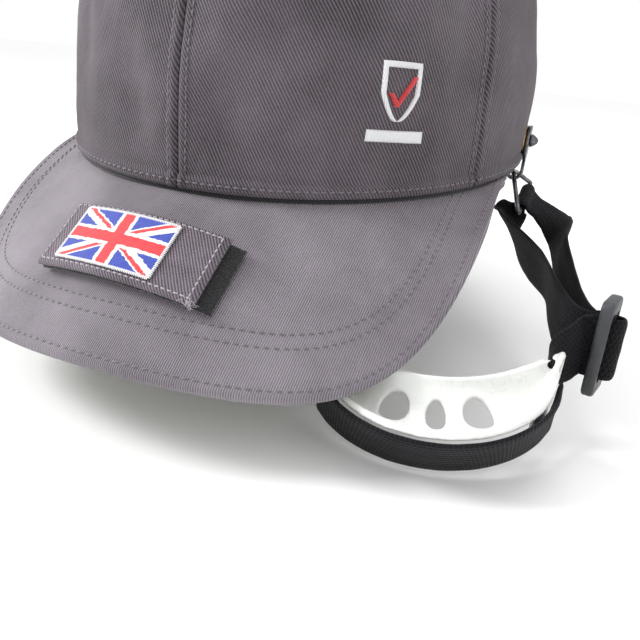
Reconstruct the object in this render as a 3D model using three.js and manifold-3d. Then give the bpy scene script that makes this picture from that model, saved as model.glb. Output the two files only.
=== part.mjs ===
// Bump cap: a baseball-style cloth cap over a removable hard liner, with a hook-and-loop flag patch
// on its bill and a chin strap that hangs from a riveted hook on each side.
//
// Millimetres, +Z up, front -Y, the wearer's left +X. The origin is the centre of the head opening,
// at the height of the hem beside the ears.
import * as THREE from 'three';
import { mergeVertices } from 'three/addons/utils/BufferGeometryUtils.js';
import Module from 'manifold-3d';

const wasm = await Module();
wasm.setup();

const DEG = Math.PI / 180;
const GAP = 0.3;

// Crown
const CROWN_HALF_LENGTH = 107.4;
const CROWN_HALF_WIDTH = 89;
const CROWN_HEIGHT = 135;
const PLAN_POWER = 2.08;
const DOME_POWER_RISE = 2.5;
const DOME_POWER_FALL = 2.2;
const HEM_FRONT = -7.2;
const HEM_RISE = 9.4;
const HEM_SAG = 2.1;
const CLOTH = 1.2;
const FRONT_SEAM = 62.5;
const BACK_SEAM = 122;
const CROWN_TOP = 88.2;
const ARCH_HALF_WIDTH = 33;
const ARCH_HEIGHT = 38;

// Bill
const BILL_HALF_WIDTH = 102.3;
const BILL_REACH = 48.2;
const BILL_END = 82.5;
const BILL_ROUNDNESS = 0.72;
const BILL_FRONT_Z = -46.1;
const BILL_DROP = 21.2;
const BILL_FLARE = 6.6;
const BILL_TUCK = 2;
const BILL_CROWNING = 2.2;
const COVER = 0.9;
const BOARD = 2;
const BILL_TOP_DEPTH = 0.8;

// Bands inside the hem
const SWEATBAND_INSET = 1.7;
const SWEATBAND_THICK = 2;
const SWEATBAND_HEIGHT = 30;
const SWEATBAND_END = 150;

// Rear closure
const CLOSURE_LOW = 1.5;
const CLOSURE_HEIGHT = 22;
const CLOSURE_THICK = 1.2;
const CLOSURE_OUTER_INSET = 2;
const CLOSURE_INNER_INSET = 3.6;
const CLOSURE_TAB = 8;
const CLOSURE_FOLD = 16;

// Liner
const LINER_INSET = 6.5;
const LINER_THICK = 2;
const LINER_LOW = 24;
const PAD_THICK = 5;
const PAD_GAP = 1;
const SLOT_RADIUS = 3.5;

// Hook hardware
const HOOK_Y = 13;
const HOOK_WALL = 89.4;
const HOOK_RIVET_Z = 9.3;
const RIVET_SHANK = 1.6;
const PLATE_THICK = 1.8;
const PLATE_WIDTH = 10;
const PLATE_TOP = 15;
const CURL_RADIUS = 2.1;
const CURL_Z = -3.6;
const CURL_WIDTH = 3.6;
const EYELET_RADIUS = 6;
const WIRE_RADIUS = 0.95;

// Chin strap
const LAY_TILT = 13.37;
const LAY_DROP = 42.35;
const WEB_WIDTH = 20;
const WEB_THICK = 1.5;
const CUP_CENTRE = new THREE.Vector3(81.5, -92.5, 0);
const CUP_TURN = 14.5;
const CUP_RADIUS = 40;
const CUP_FLARE = 8.3;
const CUP_SPAN = 61.5;
const DISH_SPAN = 54;
const DISH_HALF = 30.5;
const CUP_WALL = 1.6;
const CUP_FAR_FRONT = 25;
const CUP_FAR_END = 10;
const CUP_FAR_Z = 22;
const CUP_DEPTH = 6.5;
const SLIDER_CENTRE = new THREE.Vector3(130.3, -78.5, 18.5);
const SLIDER_LENGTH = 31;
const SLIDER_DEPTH = 14;
const SLIDER_THICK = 3.6;
const SLOT_OFFSET = 2.9;
const TURN_RUN = 1.9;
const RING_BAR = new THREE.Vector3(93.7, 11.2, 24.7);
const RING_BAR_DIR = new THREE.Vector3(0.05, 0.98, 0.19).normalize();
const RING_BAR_HALF = 12.2;
const RING_TOP = new THREE.Vector3(87.4, 11.7, 35.3);
const RING_TOP_DIR = new THREE.Vector3(0, 0.973, -0.231);
const RING_TOP_HALF = 3.4;
const FOLD_RADIUS = 2.2;
const FOLD_WIDTH = 15.5;

// Flag patch
const PATCH_LENGTH = 53;
const PATCH_WIDTH = 23.5;
const PATCH_THICK = 1.6;
const PATCH_REACH = 22;
const PATCH_TURN = -2;
const PATCH_LIFT = 3;
const HOOK_TAPE = 0.9;
const LOOP_TAPE = 0.9;
const LOOP_EXTRA = 4;
const FLAG_LENGTH = 32.3;
const FLAG_WIDTH = 18.3;
const FLAG_THICK = 0.5;
const FLAG_OFFSET = -3.5;

const materials = {
  twill: { color: 0x726b71, roughness: 0.92, metalness: 0 },
  underbill: { color: 0x8d8c7c, roughness: 0.95, metalness: 0 },
  lining: { color: 0x2f2f33, roughness: 0.95, metalness: 0 },
  webbing: { color: 0x1d1c1f, roughness: 0.9, metalness: 0 },
  tape: { color: 0x141416, roughness: 0.95, metalness: 0 },
  patch: { color: 0x8b8189, roughness: 0.92, metalness: 0 },
  flag: { color: 0xd8343c, roughness: 0.8, metalness: 0 },
  thread: { color: 0xf1f1f1, roughness: 0.8, metalness: 0 },
  board: { color: 0x222224, roughness: 0.6, metalness: 0 },
  shell: { color: 0x1b1c1e, roughness: 0.45, metalness: 0 },
  foam: { color: 0x3a3b3f, roughness: 1, metalness: 0 },
  steel: { color: 0x4c4d50, roughness: 0.4, metalness: 0.9 },
  brass: { color: 0xb58a4a, roughness: 0.35, metalness: 0.9 },
  buckle: { color: 0x3c3e41, roughness: 0.5, metalness: 0 },
  cup: { color: 0xe3e4de, roughness: 0.35, metalness: 0 },
};

const cap = new THREE.Group();

function addMesh(name, geometry, material, parent = cap) {
  const mesh = new THREE.Mesh(geometry, new THREE.MeshStandardMaterial(materials[material]));
  mesh.name = name;
  parent.add(mesh);
  return mesh;
}

// ---------- closed surfaces ----------

function geometryFrom(positions, triangles) {
  const geometry = new THREE.BufferGeometry();
  geometry.setAttribute('position', new THREE.Float32BufferAttribute(positions, 3));
  geometry.setIndex(triangles);
  return faceOutward(mergeVertices(geometry, 1e-4));
}

// Turns every triangle over when the solid they enclose comes out with a negative volume.
function faceOutward(geometry) {
  const position = geometry.getAttribute('position');
  const index = geometry.getIndex().array;
  const a = new THREE.Vector3();
  const b = new THREE.Vector3();
  const c = new THREE.Vector3();
  let volume = 0;
  for (let i = 0; i < index.length; i += 3) {
    a.fromBufferAttribute(position, index[i]);
    b.fromBufferAttribute(position, index[i + 1]);
    c.fromBufferAttribute(position, index[i + 2]);
    volume += a.dot(b.cross(c));
  }
  if (volume < 0) {
    for (let i = 0; i < index.length; i += 3) {
      [index[i + 1], index[i + 2]] = [index[i + 2], index[i + 1]];
    }
  }
  return geometry;
}

// A slab between two surfaces: near(u, v) and far(u, v), with u and v from 0 to 1.
function slab(columns, rows, near, far) {
  const positions = [];
  const triangles = [];
  const side = (columns + 1) * (rows + 1);
  const at = (layer, i, j) => layer * side + i * (rows + 1) + j;
  for (const surface of [near, far]) {
    for (let i = 0; i <= columns; i += 1) {
      for (let j = 0; j <= rows; j += 1) {
        positions.push(...surface(i / columns, j / rows).toArray());
      }
    }
  }
  const quad = (a, b, c, d) => triangles.push(a, b, c, a, c, d);
  for (let i = 0; i < columns; i += 1) {
    for (let j = 0; j < rows; j += 1) {
      quad(at(0, i, j), at(0, i, j + 1), at(0, i + 1, j + 1), at(0, i + 1, j));
      quad(at(1, i, j), at(1, i + 1, j), at(1, i + 1, j + 1), at(1, i, j + 1));
    }
    quad(at(0, i, 0), at(0, i + 1, 0), at(1, i + 1, 0), at(1, i, 0));
    quad(at(0, i, rows), at(1, i, rows), at(1, i + 1, rows), at(0, i + 1, rows));
  }
  for (let j = 0; j < rows; j += 1) {
    quad(at(0, 0, j), at(1, 0, j), at(1, 0, j + 1), at(0, 0, j + 1));
    quad(at(0, columns, j), at(0, columns, j + 1), at(1, columns, j + 1), at(1, columns, j));
  }
  return geometryFrom(positions, triangles);
}

// A solid through a row of equal rings of points, capped at its ends or joined up into a loop.
function loft(rings, closed = false) {
  const positions = rings.flat().flatMap((point) => point.toArray());
  const count = rings[0].length;
  const triangles = [];
  const last = closed ? rings.length : rings.length - 1;
  for (let i = 0; i < last; i += 1) {
    const next = (i + 1) % rings.length;
    for (let j = 0; j < count; j += 1) {
      const k = (j + 1) % count;
      const [a, b] = [i * count + j, i * count + k];
      const [c, d] = [next * count + k, next * count + j];
      triangles.push(a, b, c, a, c, d);
    }
  }
  if (!closed) {
    const end = (rings.length - 1) * count;
    for (let j = 1; j < count - 1; j += 1) {
      triangles.push(0, j + 1, j, end, end + j, end + j + 1);
    }
  }
  return geometryFrom(positions, triangles);
}

function toManifold(geometry) {
  const bare = geometry.clone();
  bare.deleteAttribute('normal');
  bare.deleteAttribute('uv');
  const merged = mergeVertices(bare, 1e-4);
  return new wasm.Manifold(new wasm.Mesh({
    numProp: 3,
    vertProperties: new Float32Array(merged.getAttribute('position').array),
    triVerts: new Uint32Array(merged.getIndex().array),
  }));
}

function fromManifold(solid) {
  const mesh = solid.getMesh();
  const geometry = new THREE.BufferGeometry();
  geometry.setAttribute('position', new THREE.BufferAttribute(mesh.vertProperties, 3));
  geometry.setIndex(new THREE.BufferAttribute(mesh.triVerts, 1));
  return geometry;
}

function cutAll(base, tools) {
  let solid = toManifold(base);
  for (const tool of tools) solid = solid.subtract(toManifold(tool));
  return fromManifold(solid);
}

function joinAll(pieces) {
  let solid = toManifold(pieces[0]);
  for (const piece of pieces.slice(1)) solid = solid.add(toManifold(piece));
  return fromManifold(solid);
}

// ---------- crown ----------

// phi runs from 0 at the front through 90 degrees at the wearer's left ear to 180 at the back.
function planPoint(phi, inset = 0, scale = 1) {
  const [s, c] = [Math.sin(phi), Math.cos(phi)];
  const reach = (Math.abs(s) ** PLAN_POWER + Math.abs(c) ** PLAN_POWER) ** (-1 / PLAN_POWER);
  return [
    (CROWN_HALF_WIDTH - inset) * reach * s * scale,
    -(CROWN_HALF_LENGTH - inset) * reach * c * scale,
  ];
}

function hemHeight(phi) {
  const u = 1 - Math.cos(phi);
  return HEM_FRONT + HEM_RISE * u - HEM_SAG * u * u;
}

function domeScale(q) {
  return (1 - q ** DOME_POWER_RISE) ** (1 / DOME_POWER_FALL);
}

// q is the share of the way up from the hem to the top of the dome.
function crownPoint(phi, q, inset = 0) {
  const [x, y] = planPoint(phi, inset, domeScale(q));
  const z = hemHeight(phi) * (1 - q) + (CROWN_HEIGHT - inset) * q;
  return new THREE.Vector3(x, y, z);
}

function hemShare(phi, height, inset = 0) {
  const low = hemHeight(phi);
  return (height - low) / (CROWN_HEIGHT - inset - low);
}

// The rear opening is an arch: how far up the crown it reaches at this angle, as a share q.
function archShare(phi) {
  const [x] = planPoint(phi);
  if (Math.cos(phi) > 0 || Math.abs(x) >= ARCH_HALF_WIDTH) return 0;
  const rise = ARCH_HEIGHT * Math.sqrt(1 - (x / ARCH_HALF_WIDTH) ** 2);
  return hemShare(phi, hemHeight(phi) + rise);
}

function crownPanel(from, to, columns, rows, ease = (t) => t) {
  const surface = (inset) => (u, v) => {
    const turn = Math.sin(v * CROWN_TOP * DEG);
    const reach = CROWN_HALF_WIDTH * Math.max(domeScale(turn), 0.05);
    const edge = (0.5 * GAP) / reach;
    const phi = THREE.MathUtils.lerp(from * DEG + edge, to * DEG - edge, ease(u));
    const low = archShare(phi);
    return crownPoint(phi, low + (1 - low) * turn, inset);
  };
  return slab(columns, rows, surface(0), surface(CLOTH));
}

const archEase = (t) => 1 - (1 - t) ** 1.6;

addMesh('crown_front_left', crownPanel(0, FRONT_SEAM, 9, 9), 'twill');
addMesh('crown_front_right', crownPanel(-FRONT_SEAM, 0, 9, 9), 'twill');

// The side panels are pierced for the rivets of the chin strap's hooks.
function rivetHole(side) {
  const hole = new THREE.CylinderGeometry(RIVET_SHANK + GAP, RIVET_SHANK + GAP, 8, 14);
  hole.rotateZ(90 * DEG);
  hole.translate(side * (HOOK_WALL - 2), HOOK_Y, HOOK_RIVET_Z);
  return hole;
}

const sideLeft = cutAll(crownPanel(FRONT_SEAM, BACK_SEAM, 8, 9), [rivetHole(1)]);
const sideRight = cutAll(crownPanel(-BACK_SEAM, -FRONT_SEAM, 8, 9), [rivetHole(-1)]);
addMesh('crown_side_left', sideLeft, 'twill');
addMesh('crown_side_right', sideRight, 'twill');
addMesh('crown_back_left', crownPanel(BACK_SEAM, 180, 14, 9, archEase), 'twill');
addMesh('crown_back_right', crownPanel(-180, -BACK_SEAM, 14, 9, (t) => 1 - archEase(1 - t)), 'twill');

const BUTTON_RADIUS = 8;
const button = new THREE.LatheGeometry([
  new THREE.Vector2(0, 0),
  new THREE.Vector2(BUTTON_RADIUS, 0),
  new THREE.Vector2(BUTTON_RADIUS, 1.4),
  new THREE.Vector2(BUTTON_RADIUS * 0.8, 3),
  new THREE.Vector2(BUTTON_RADIUS * 0.45, 4),
  new THREE.Vector2(0, 4.3),
], 20);
button.rotateX(90 * DEG);
addMesh('top_button', button, 'twill').position.z = CROWN_HEIGHT + GAP;

// Stitched vent eyelets, one on each side and back panel.
const EYELETS = {
  eyelet_side_left: 92,
  eyelet_side_right: -92,
  eyelet_back_left: 151,
  eyelet_back_right: -151,
};
const EYELET_SHARE = 0.7;
for (const [name, angle] of Object.entries(EYELETS)) {
  const place = crownPoint(angle * DEG, EYELET_SHARE);
  const up = crownPoint(angle * DEG, EYELET_SHARE + 0.02).sub(place);
  const along = crownPoint((angle + 1) * DEG, EYELET_SHARE).sub(place);
  const outward = along.cross(up).normalize();
  const ring = new THREE.LatheGeometry([
    new THREE.Vector2(2, 0),
    new THREE.Vector2(4.5, 0),
    new THREE.Vector2(4.5, 0.6),
    new THREE.Vector2(2, 0.6),
    new THREE.Vector2(2, 0),
  ], 14);
  const mesh = addMesh(name, ring, 'twill');
  mesh.quaternion.setFromUnitVectors(new THREE.Vector3(0, 1, 0), outward);
  mesh.position.copy(place).addScaledVector(outward, GAP + 0.15);
}

// ---------- bill ----------

const billEnd = planPoint(BILL_END * DEG);
const BILL_LENGTH = CROWN_HALF_LENGTH + BILL_REACH + billEnd[1];

// The bill's outer edge; s runs from -1 at the wearer's right end to 1 at the left end.
function billEdge(s) {
  const t = s * 90 * DEG;
  const blend = Math.abs(Math.sin(t));
  const half = BILL_HALF_WIDTH + (billEnd[0] - BILL_HALF_WIDTH) * blend ** 8;
  const x = half * Math.sin(t);
  const y = billEnd[1] - BILL_LENGTH * Math.cos(t) ** BILL_ROUNDNESS;
  const u = (x / BILL_HALF_WIDTH) ** 2;
  const open = BILL_FRONT_Z - BILL_DROP * u + BILL_FLARE * u * u;
  const z = THREE.MathUtils.lerp(open, hemHeight(BILL_END * DEG) - 2 * BILL_TOP_DEPTH, blend ** 6);
  return new THREE.Vector3(x, y, z);
}

function billRoot(s) {
  const phi = s * BILL_END * DEG;
  const [x, y] = planPoint(phi, BILL_TUCK);
  return new THREE.Vector3(x, y, hemHeight(phi) - BILL_TOP_DEPTH);
}

// The bill's top surface; v is 0 under the hem and 1 at the edge.
function billTop(s, v) {
  const root = billRoot(s);
  const edge = billEdge(s);
  const rise = BILL_CROWNING * 4 * v * (1 - v) * Math.cos(s * 90 * DEG) ** 0.5;
  return root.lerp(edge, v).add(new THREE.Vector3(0, 0, rise));
}

function billNormal(s, v) {
  const step = 1e-3;
  const centre = billTop(s, v);
  const along = billTop(s - step, v).sub(centre);
  const out = billTop(s, v - step).sub(centre);
  const normal = along.cross(out).normalize();
  return normal.z < 0 ? normal.negate() : normal;
}

function billSurface(depth, s, v) {
  return billTop(s, v).addScaledVector(billNormal(s, v), -depth);
}

const BILL_SPAN = 0.985;

function billLayer(from, to) {
  const surface = (depth) => (u, v) => {
    const s = BILL_SPAN * Math.sin((u - 0.5) * 180 * DEG);
    return billSurface(depth, s, v);
  };
  return slab(24, 5, surface(from), surface(to));
}

const boardTop = COVER + GAP;
const underTop = boardTop + BOARD + GAP;
addMesh('bill_top_cover', billLayer(0, COVER), 'twill');
addMesh('bill_board', billLayer(boardTop, boardTop + BOARD), 'board');
addMesh('bill_under_cover', billLayer(underTop, underTop + COVER), 'underbill');

// ---------- bands and closure inside the hem ----------

function bandPoint(phi, height, inset) {
  return crownPoint(phi, hemShare(phi, hemHeight(phi) + height, inset), inset);
}

function band(from, to, columns, low, high, inset, thick) {
  const surface = (depth) => (u, v) => bandPoint(
    THREE.MathUtils.lerp(from, to, u) * DEG,
    THREE.MathUtils.lerp(low, high, v),
    depth,
  );
  return slab(columns, 2, surface(inset), surface(inset + thick));
}

const sweatband = band(
  -SWEATBAND_END, SWEATBAND_END, 36, 0.6, SWEATBAND_HEIGHT, SWEATBAND_INSET, SWEATBAND_THICK,
);
addMesh('sweatband', sweatband, 'lining');

const tabAngle = Math.asin((ARCH_HALF_WIDTH + CLOSURE_TAB) / CROWN_HALF_WIDTH) / DEG;
const closureHigh = CLOSURE_LOW + CLOSURE_HEIGHT;
const closure = (from, to, inset) => band(
  from, to, 10, CLOSURE_LOW, closureHigh, inset, CLOSURE_THICK,
);
const tabLeft = closure(180 - tabAngle, 180 - CLOSURE_FOLD - 0.15, CLOSURE_OUTER_INSET);
addMesh('closure_tab_left', tabLeft, 'twill');
const hookStrap = closure(180 - CLOSURE_FOLD + 0.15, 180 + CLOSURE_FOLD - 1, CLOSURE_OUTER_INSET);
addMesh('closure_hook_strap', hookStrap, 'twill');
const loopStrap = closure(180 - 10, 180 + tabAngle, CLOSURE_INNER_INSET);
addMesh('closure_loop_strap', loopStrap, 'webbing');

// ---------- hard liner ----------

function linerPoint(phi, v, inset) {
  const low = hemShare(phi, LINER_LOW, inset);
  const q = low + (1 - low) * Math.sin(v * 88 * DEG);
  return crownPoint(phi, Math.min(q, 0.9996), inset);
}

// A dome closed over its top: rings of the outer skin down to the rim, then back up the inner skin.
function linerShell() {
  const columns = 36;
  const rows = 9;
  const skin = (inset, v) => {
    const ring = [];
    for (let i = 0; i < columns; i += 1) {
      ring.push(linerPoint((i / columns) * 360 * DEG, v, inset));
    }
    return ring;
  };
  const rings = [];
  for (let j = rows; j >= 0; j -= 1) rings.push(skin(LINER_INSET, j / rows));
  for (let j = 0; j <= rows; j += 1) rings.push(skin(LINER_INSET + LINER_THICK, j / rows));
  return loft(rings);
}

// A long round-ended hole, made as a bar to cut away: centre, half length, along and through axes.
function slotBar(centre, halfLength, along, through, depth) {
  const outline = new THREE.Shape();
  outline.moveTo(-halfLength, -SLOT_RADIUS);
  outline.lineTo(halfLength, -SLOT_RADIUS);
  outline.absarc(halfLength, 0, SLOT_RADIUS, -90 * DEG, 90 * DEG, false);
  outline.lineTo(-halfLength, SLOT_RADIUS);
  outline.absarc(-halfLength, 0, SLOT_RADIUS, 90 * DEG, 270 * DEG, false);
  const bar = new THREE.ExtrudeGeometry(outline, { depth, bevelEnabled: false, curveSegments: 4 });
  bar.translate(0, 0, -depth / 2);
  const z = through.clone().normalize();
  const x = along.clone().addScaledVector(z, -along.dot(z)).normalize();
  const y = new THREE.Vector3().crossVectors(z, x);
  bar.applyMatrix4(new THREE.Matrix4().makeBasis(x, y, z));
  bar.translate(...centre.toArray());
  return bar;
}

const upward = new THREE.Vector3(0, 0, 1);
const forward = new THREE.Vector3(0, -1, 0);
const sideways = new THREE.Vector3(1, 0, 0);
const linerSlots = [];
for (const x of [-28, 0, 28]) {
  linerSlots.push(slotBar(new THREE.Vector3(x, -4, CROWN_HEIGHT), 16, forward, upward, 70));
}
for (const y of [-30, 0, 30]) {
  linerSlots.push(slotBar(new THREE.Vector3(0, y, 62), 14, upward, sideways, 300));
}
addMesh('liner_shell', cutAll(linerShell(), linerSlots), 'shell');

function pad(from, to, low, high) {
  const inset = LINER_INSET + LINER_THICK + PAD_GAP;
  const surface = (depth) => (u, v) => {
    const phi = THREE.MathUtils.lerp(from, to, u) * DEG;
    return crownPoint(phi, THREE.MathUtils.lerp(low, high, v), depth);
  };
  return slab(8, 4, surface(inset), surface(inset + PAD_THICK));
}

addMesh('pad_front', pad(-34, 34, 0.24, 0.46), 'foam');
addMesh('pad_rear', pad(146, 214, 0.24, 0.46), 'foam');
addMesh('pad_left', pad(74, 106, 0.24, 0.33), 'foam');
addMesh('pad_right', pad(-106, -74, 0.24, 0.33), 'foam');

const TOP_PAD_RADIUS = 17;
const topPad = new THREE.CylinderGeometry(TOP_PAD_RADIUS, TOP_PAD_RADIUS, PAD_THICK, 24);
topPad.scale(0.6, 1, 1.5);
topPad.rotateX(90 * DEG);
const topPadZ = CROWN_HEIGHT - LINER_INSET - LINER_THICK - 6;
addMesh('pad_top', topPad, 'foam').position.z = topPadZ;

// ---------- flag patch on the bill ----------

// A frame on the middle of the bill, turned to its slope: x across, y down the slope, z outward.
const patchOrigin = billTop(0, PATCH_REACH / BILL_REACH);
const slope = billTop(0, 0.9).sub(billTop(0, 0.2)).normalize();
const slopeNormal = new THREE.Vector3(1, 0, 0).cross(slope).normalize();
if (slopeNormal.z < 0) slopeNormal.negate();
const patchFrame = new THREE.Group();
const patchUp = new THREE.Vector3().crossVectors(slopeNormal, new THREE.Vector3(1, 0, 0));
patchFrame.quaternion.setFromRotationMatrix(
  new THREE.Matrix4().makeBasis(new THREE.Vector3(1, 0, 0), patchUp, slopeNormal),
);
patchFrame.rotateZ(PATCH_TURN * DEG);
patchFrame.position.copy(patchOrigin);
cap.add(patchFrame);

// Sheets on the bill follow its sideways bend, flattened a little as the stiff patch is.
const PATCH_BEND = 0.0042;

function bentSheet(length, width, low, thick, offset = 0, columns = 12) {
  const surface = (height) => (u, v) => {
    const x = offset + (u - 0.5) * length;
    const y = (v - 0.5) * width;
    return new THREE.Vector3(x, y, height - PATCH_BEND * x * x);
  };
  return slab(columns, 1, surface(low), surface(low + thick));
}

const loopLow = PATCH_LIFT - LOOP_TAPE - HOOK_TAPE;
const loopLength = PATCH_LENGTH + LOOP_EXTRA;
// Nineteen columns end a facet just past the patch, so the bare end of the tape is one flat face.
const loopTape = bentSheet(loopLength, PATCH_WIDTH - 1, loopLow, LOOP_TAPE, LOOP_EXTRA / 2, 19);
addMesh('patch_loop_tape', loopTape, 'tape', patchFrame);
const hookLow = loopLow + LOOP_TAPE + GAP;
addMesh('patch_hook_tape', bentSheet(PATCH_LENGTH - 1, PATCH_WIDTH - 1, hookLow, HOOK_TAPE), 'tape', patchFrame);
const clothLow = hookLow + HOOK_TAPE + GAP;
addMesh('patch_cloth', bentSheet(PATCH_LENGTH, PATCH_WIDTH, clothLow, PATCH_THICK), 'patch', patchFrame);
const flagLow = clothLow + PATCH_THICK + GAP;
addMesh('patch_flag', bentSheet(FLAG_LENGTH, FLAG_WIDTH, flagLow, FLAG_THICK, FLAG_OFFSET), 'flag', patchFrame);

// ---------- badge on the front ----------

const BADGE_PHI = 41;
const BADGE_Z = 21;

function badgePoint(across, up, height) {
  const phi = BADGE_PHI * DEG + across / CROWN_HALF_LENGTH;
  const q = hemShare(phi, BADGE_Z + up);
  const place = crownPoint(phi, q);
  const along = crownPoint(phi + 0.01, q).sub(place);
  const rise = crownPoint(phi, q + 0.01).sub(place);
  return place.addScaledVector(along.cross(rise).normalize(), height);
}

// Embroidery stands on the cloth as a thin raised slab; half(v) is its half width at height v.
function embroidery(columns, rows, low, high, half) {
  const surface = (height) => (u, v) => {
    const up = THREE.MathUtils.lerp(low, high, v);
    return badgePoint((u - 0.5) * 2 * half(v), up, height);
  };
  return slab(columns, rows, surface(GAP), surface(GAP + 0.6));
}

const shieldHalf = (v) => 7.2 * Math.min(1, 0.14 + 1.35 * v ** 0.62);
addMesh('badge_shield', embroidery(8, 8, -3.5, 12.5, shieldHalf), 'thread');
addMesh('badge_bar', embroidery(10, 2, -9.5, -6, () => 10.5), 'thread');

// ---------- chin strap ----------

// The strap lies on a plane that tips down toward the front, LAY_DROP under the head opening.
const strap = new THREE.Group();
strap.rotation.x = LAY_TILT * DEG;
strap.position.set(0, LAY_DROP * Math.sin(LAY_TILT * DEG), -LAY_DROP * Math.cos(LAY_TILT * DEG));
cap.add(strap);

const vec = (x, y, z) => new THREE.Vector3(x, y, z);

// Flat webbing through stations of [centre, direction across its width, width there].
function webbing(stations, perSpan = 2) {
  const path = new THREE.CatmullRomCurve3(stations.map(([centre]) => centre), false, 'centripetal');
  const across = new THREE.CatmullRomCurve3(stations.map(([, side]) => side), false, 'centripetal');
  const widths = stations.map(([, , width]) => width ?? WEB_WIDTH);
  const steps = (stations.length - 1) * perSpan;
  const rings = [];
  for (let i = 0; i <= steps; i += 1) {
    const centre = path.getPoint(i / steps);
    const tangent = path.getTangent(i / steps);
    const side = across.getPoint(i / steps);
    const station = Math.floor(i / perSpan);
    const next = Math.min(station + 1, widths.length - 1);
    const width = THREE.MathUtils.lerp(widths[station], widths[next], (i % perSpan) / perSpan);
    side.addScaledVector(tangent, -side.dot(tangent)).normalize().multiplyScalar(width / 2);
    const face = new THREE.Vector3().crossVectors(tangent, side).setLength(WEB_THICK / 2);
    rings.push([
      centre.clone().add(side).add(face),
      centre.clone().sub(side).add(face),
      centre.clone().sub(side).sub(face),
      centre.clone().add(side).sub(face),
    ]);
  }
  return loft(rings);
}

// Slider: three bars and two slots, its flat plane across the run of the webbing.
const slider = new THREE.Group();
const sliderLong = vec(-0.02, 0.25, 0.97).normalize();
const sliderRun = vec(0.97, -0.22, 0.1);
sliderRun.addScaledVector(sliderLong, -sliderRun.dot(sliderLong)).normalize();
const sliderDeep = new THREE.Vector3().crossVectors(sliderLong, sliderRun);
slider.quaternion.setFromRotationMatrix(
  new THREE.Matrix4().makeBasis(sliderRun, sliderDeep, sliderLong),
);
slider.position.copy(SLIDER_CENTRE);
strap.add(slider);

function sliderPlate() {
  const plate = new THREE.BoxGeometry(SLIDER_THICK, SLIDER_DEPTH, SLIDER_LENGTH);
  const slots = [-1, 1].map((side) => {
    const slot = new THREE.BoxGeometry(SLIDER_THICK + 2, 3.6, WEB_WIDTH + 2);
    slot.translate(0, side * SLOT_OFFSET, 0);
    return slot;
  });
  return cutAll(plate, slots);
}

addMesh('strap_slider', sliderPlate(), 'buckle', slider);

// A webbing station placed from the slider: along the run, across the slots.
const inSlider = (run, deep) => [
  SLIDER_CENTRE.clone().addScaledVector(sliderRun, run).addScaledVector(sliderDeep, deep),
  sliderLong,
];

// The half turn of the webbing over a ring's long bar, from its inner side to its outer side.
function ringTurn(side) {
  const centre = RING_BAR.clone();
  const along = RING_BAR_DIR.clone();
  centre.x *= side;
  along.x *= side;
  const out = vec(side, 0, 0);
  out.addScaledVector(along, -out.dot(along)).normalize();
  const up = new THREE.Vector3().crossVectors(out, along).multiplyScalar(side);
  const stations = [];
  for (let angle = 180; angle >= 0; angle -= 30) {
    const place = centre.clone()
      .addScaledVector(out, FOLD_RADIUS * Math.cos(angle * DEG))
      .addScaledVector(up, FOLD_RADIUS * Math.sin(angle * DEG));
    stations.push([place, along, FOLD_WIDTH]);
  }
  return stations;
}

const outerRun = [
  ...ringTurn(1),
  [vec(98.6, 13, 22), vec(-0.01, 0.94, 0.34), 18],
  [vec(101.9, 13.6, 19.4), vec(-0.2, 0.92, 0.33)],
  [vec(106.5, 10, 16), vec(-0.32, 0.9, 0.29)],
  [vec(109.9, 0.7, 14), vec(-0.19, 0.66, 0.73)],
  [vec(113.4, -18.4, 18.4), vec(-0.1, 0.23, 0.97)],
  [vec(116.2, -42, 17.2), vec(0.08, -0.05, 0.99)],
  [vec(120.3, -59, 17), vec(0.03, 0.03, 1)],
  [vec(122.6, -66.5, 17.2), vec(0, 0.12, 0.99)],
  [vec(124.7, -72.2, 17.4), vec(-0.01, 0.2, 0.97)],
  inSlider(-4.6, SLOT_OFFSET),
  inSlider(-3, SLOT_OFFSET),
];
addMesh('webbing_left_outer', webbing(outerRun), 'webbing', strap);

const innerRun = [
  [vec(90.6, 11.2, 21.6), vec(0.02, 0.98, 0.2), 16],
  [vec(88.4, 10.6, 19.4), vec(-0.35, 0.75, 0.56)],
  [vec(89.1, 4.6, 17.3), vec(-0.5, 0.48, 0.72)],
  [vec(93, -6.8, 15), vec(-0.53, 0.31, 0.79)],
  [vec(100.4, -21.7, 14.9), vec(-0.36, 0.25, 0.89)],
  [vec(109, -38.5, 16.3), vec(-0.28, 0.12, 0.94)],
  [vec(113.4, -56, 17.2), vec(-0.1, 0, 0.99)],
  [vec(116.6, -66, 17.4), vec(-0.05, 0.15, 0.98)],
  [vec(119.2, -72.2, 17.8), vec(-0.03, 0.2, 0.97)],
  [vec(122, -75.9, 18), vec(-0.02, 0.24, 0.96)],
  inSlider(-5.2, 0),
  inSlider(-2.6, 0),
];
addMesh('webbing_left_inner', webbing(innerRun), 'webbing', strap);

// A point of the chin cup's own round frame: degrees from its front, distance from its centre.
function inCup(theta, radius, z) {
  const turn = (theta - 90 + CUP_TURN) * DEG;
  return CUP_CENTRE.clone().add(vec(radius * Math.cos(turn), radius * Math.sin(turn), z));
}

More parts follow.
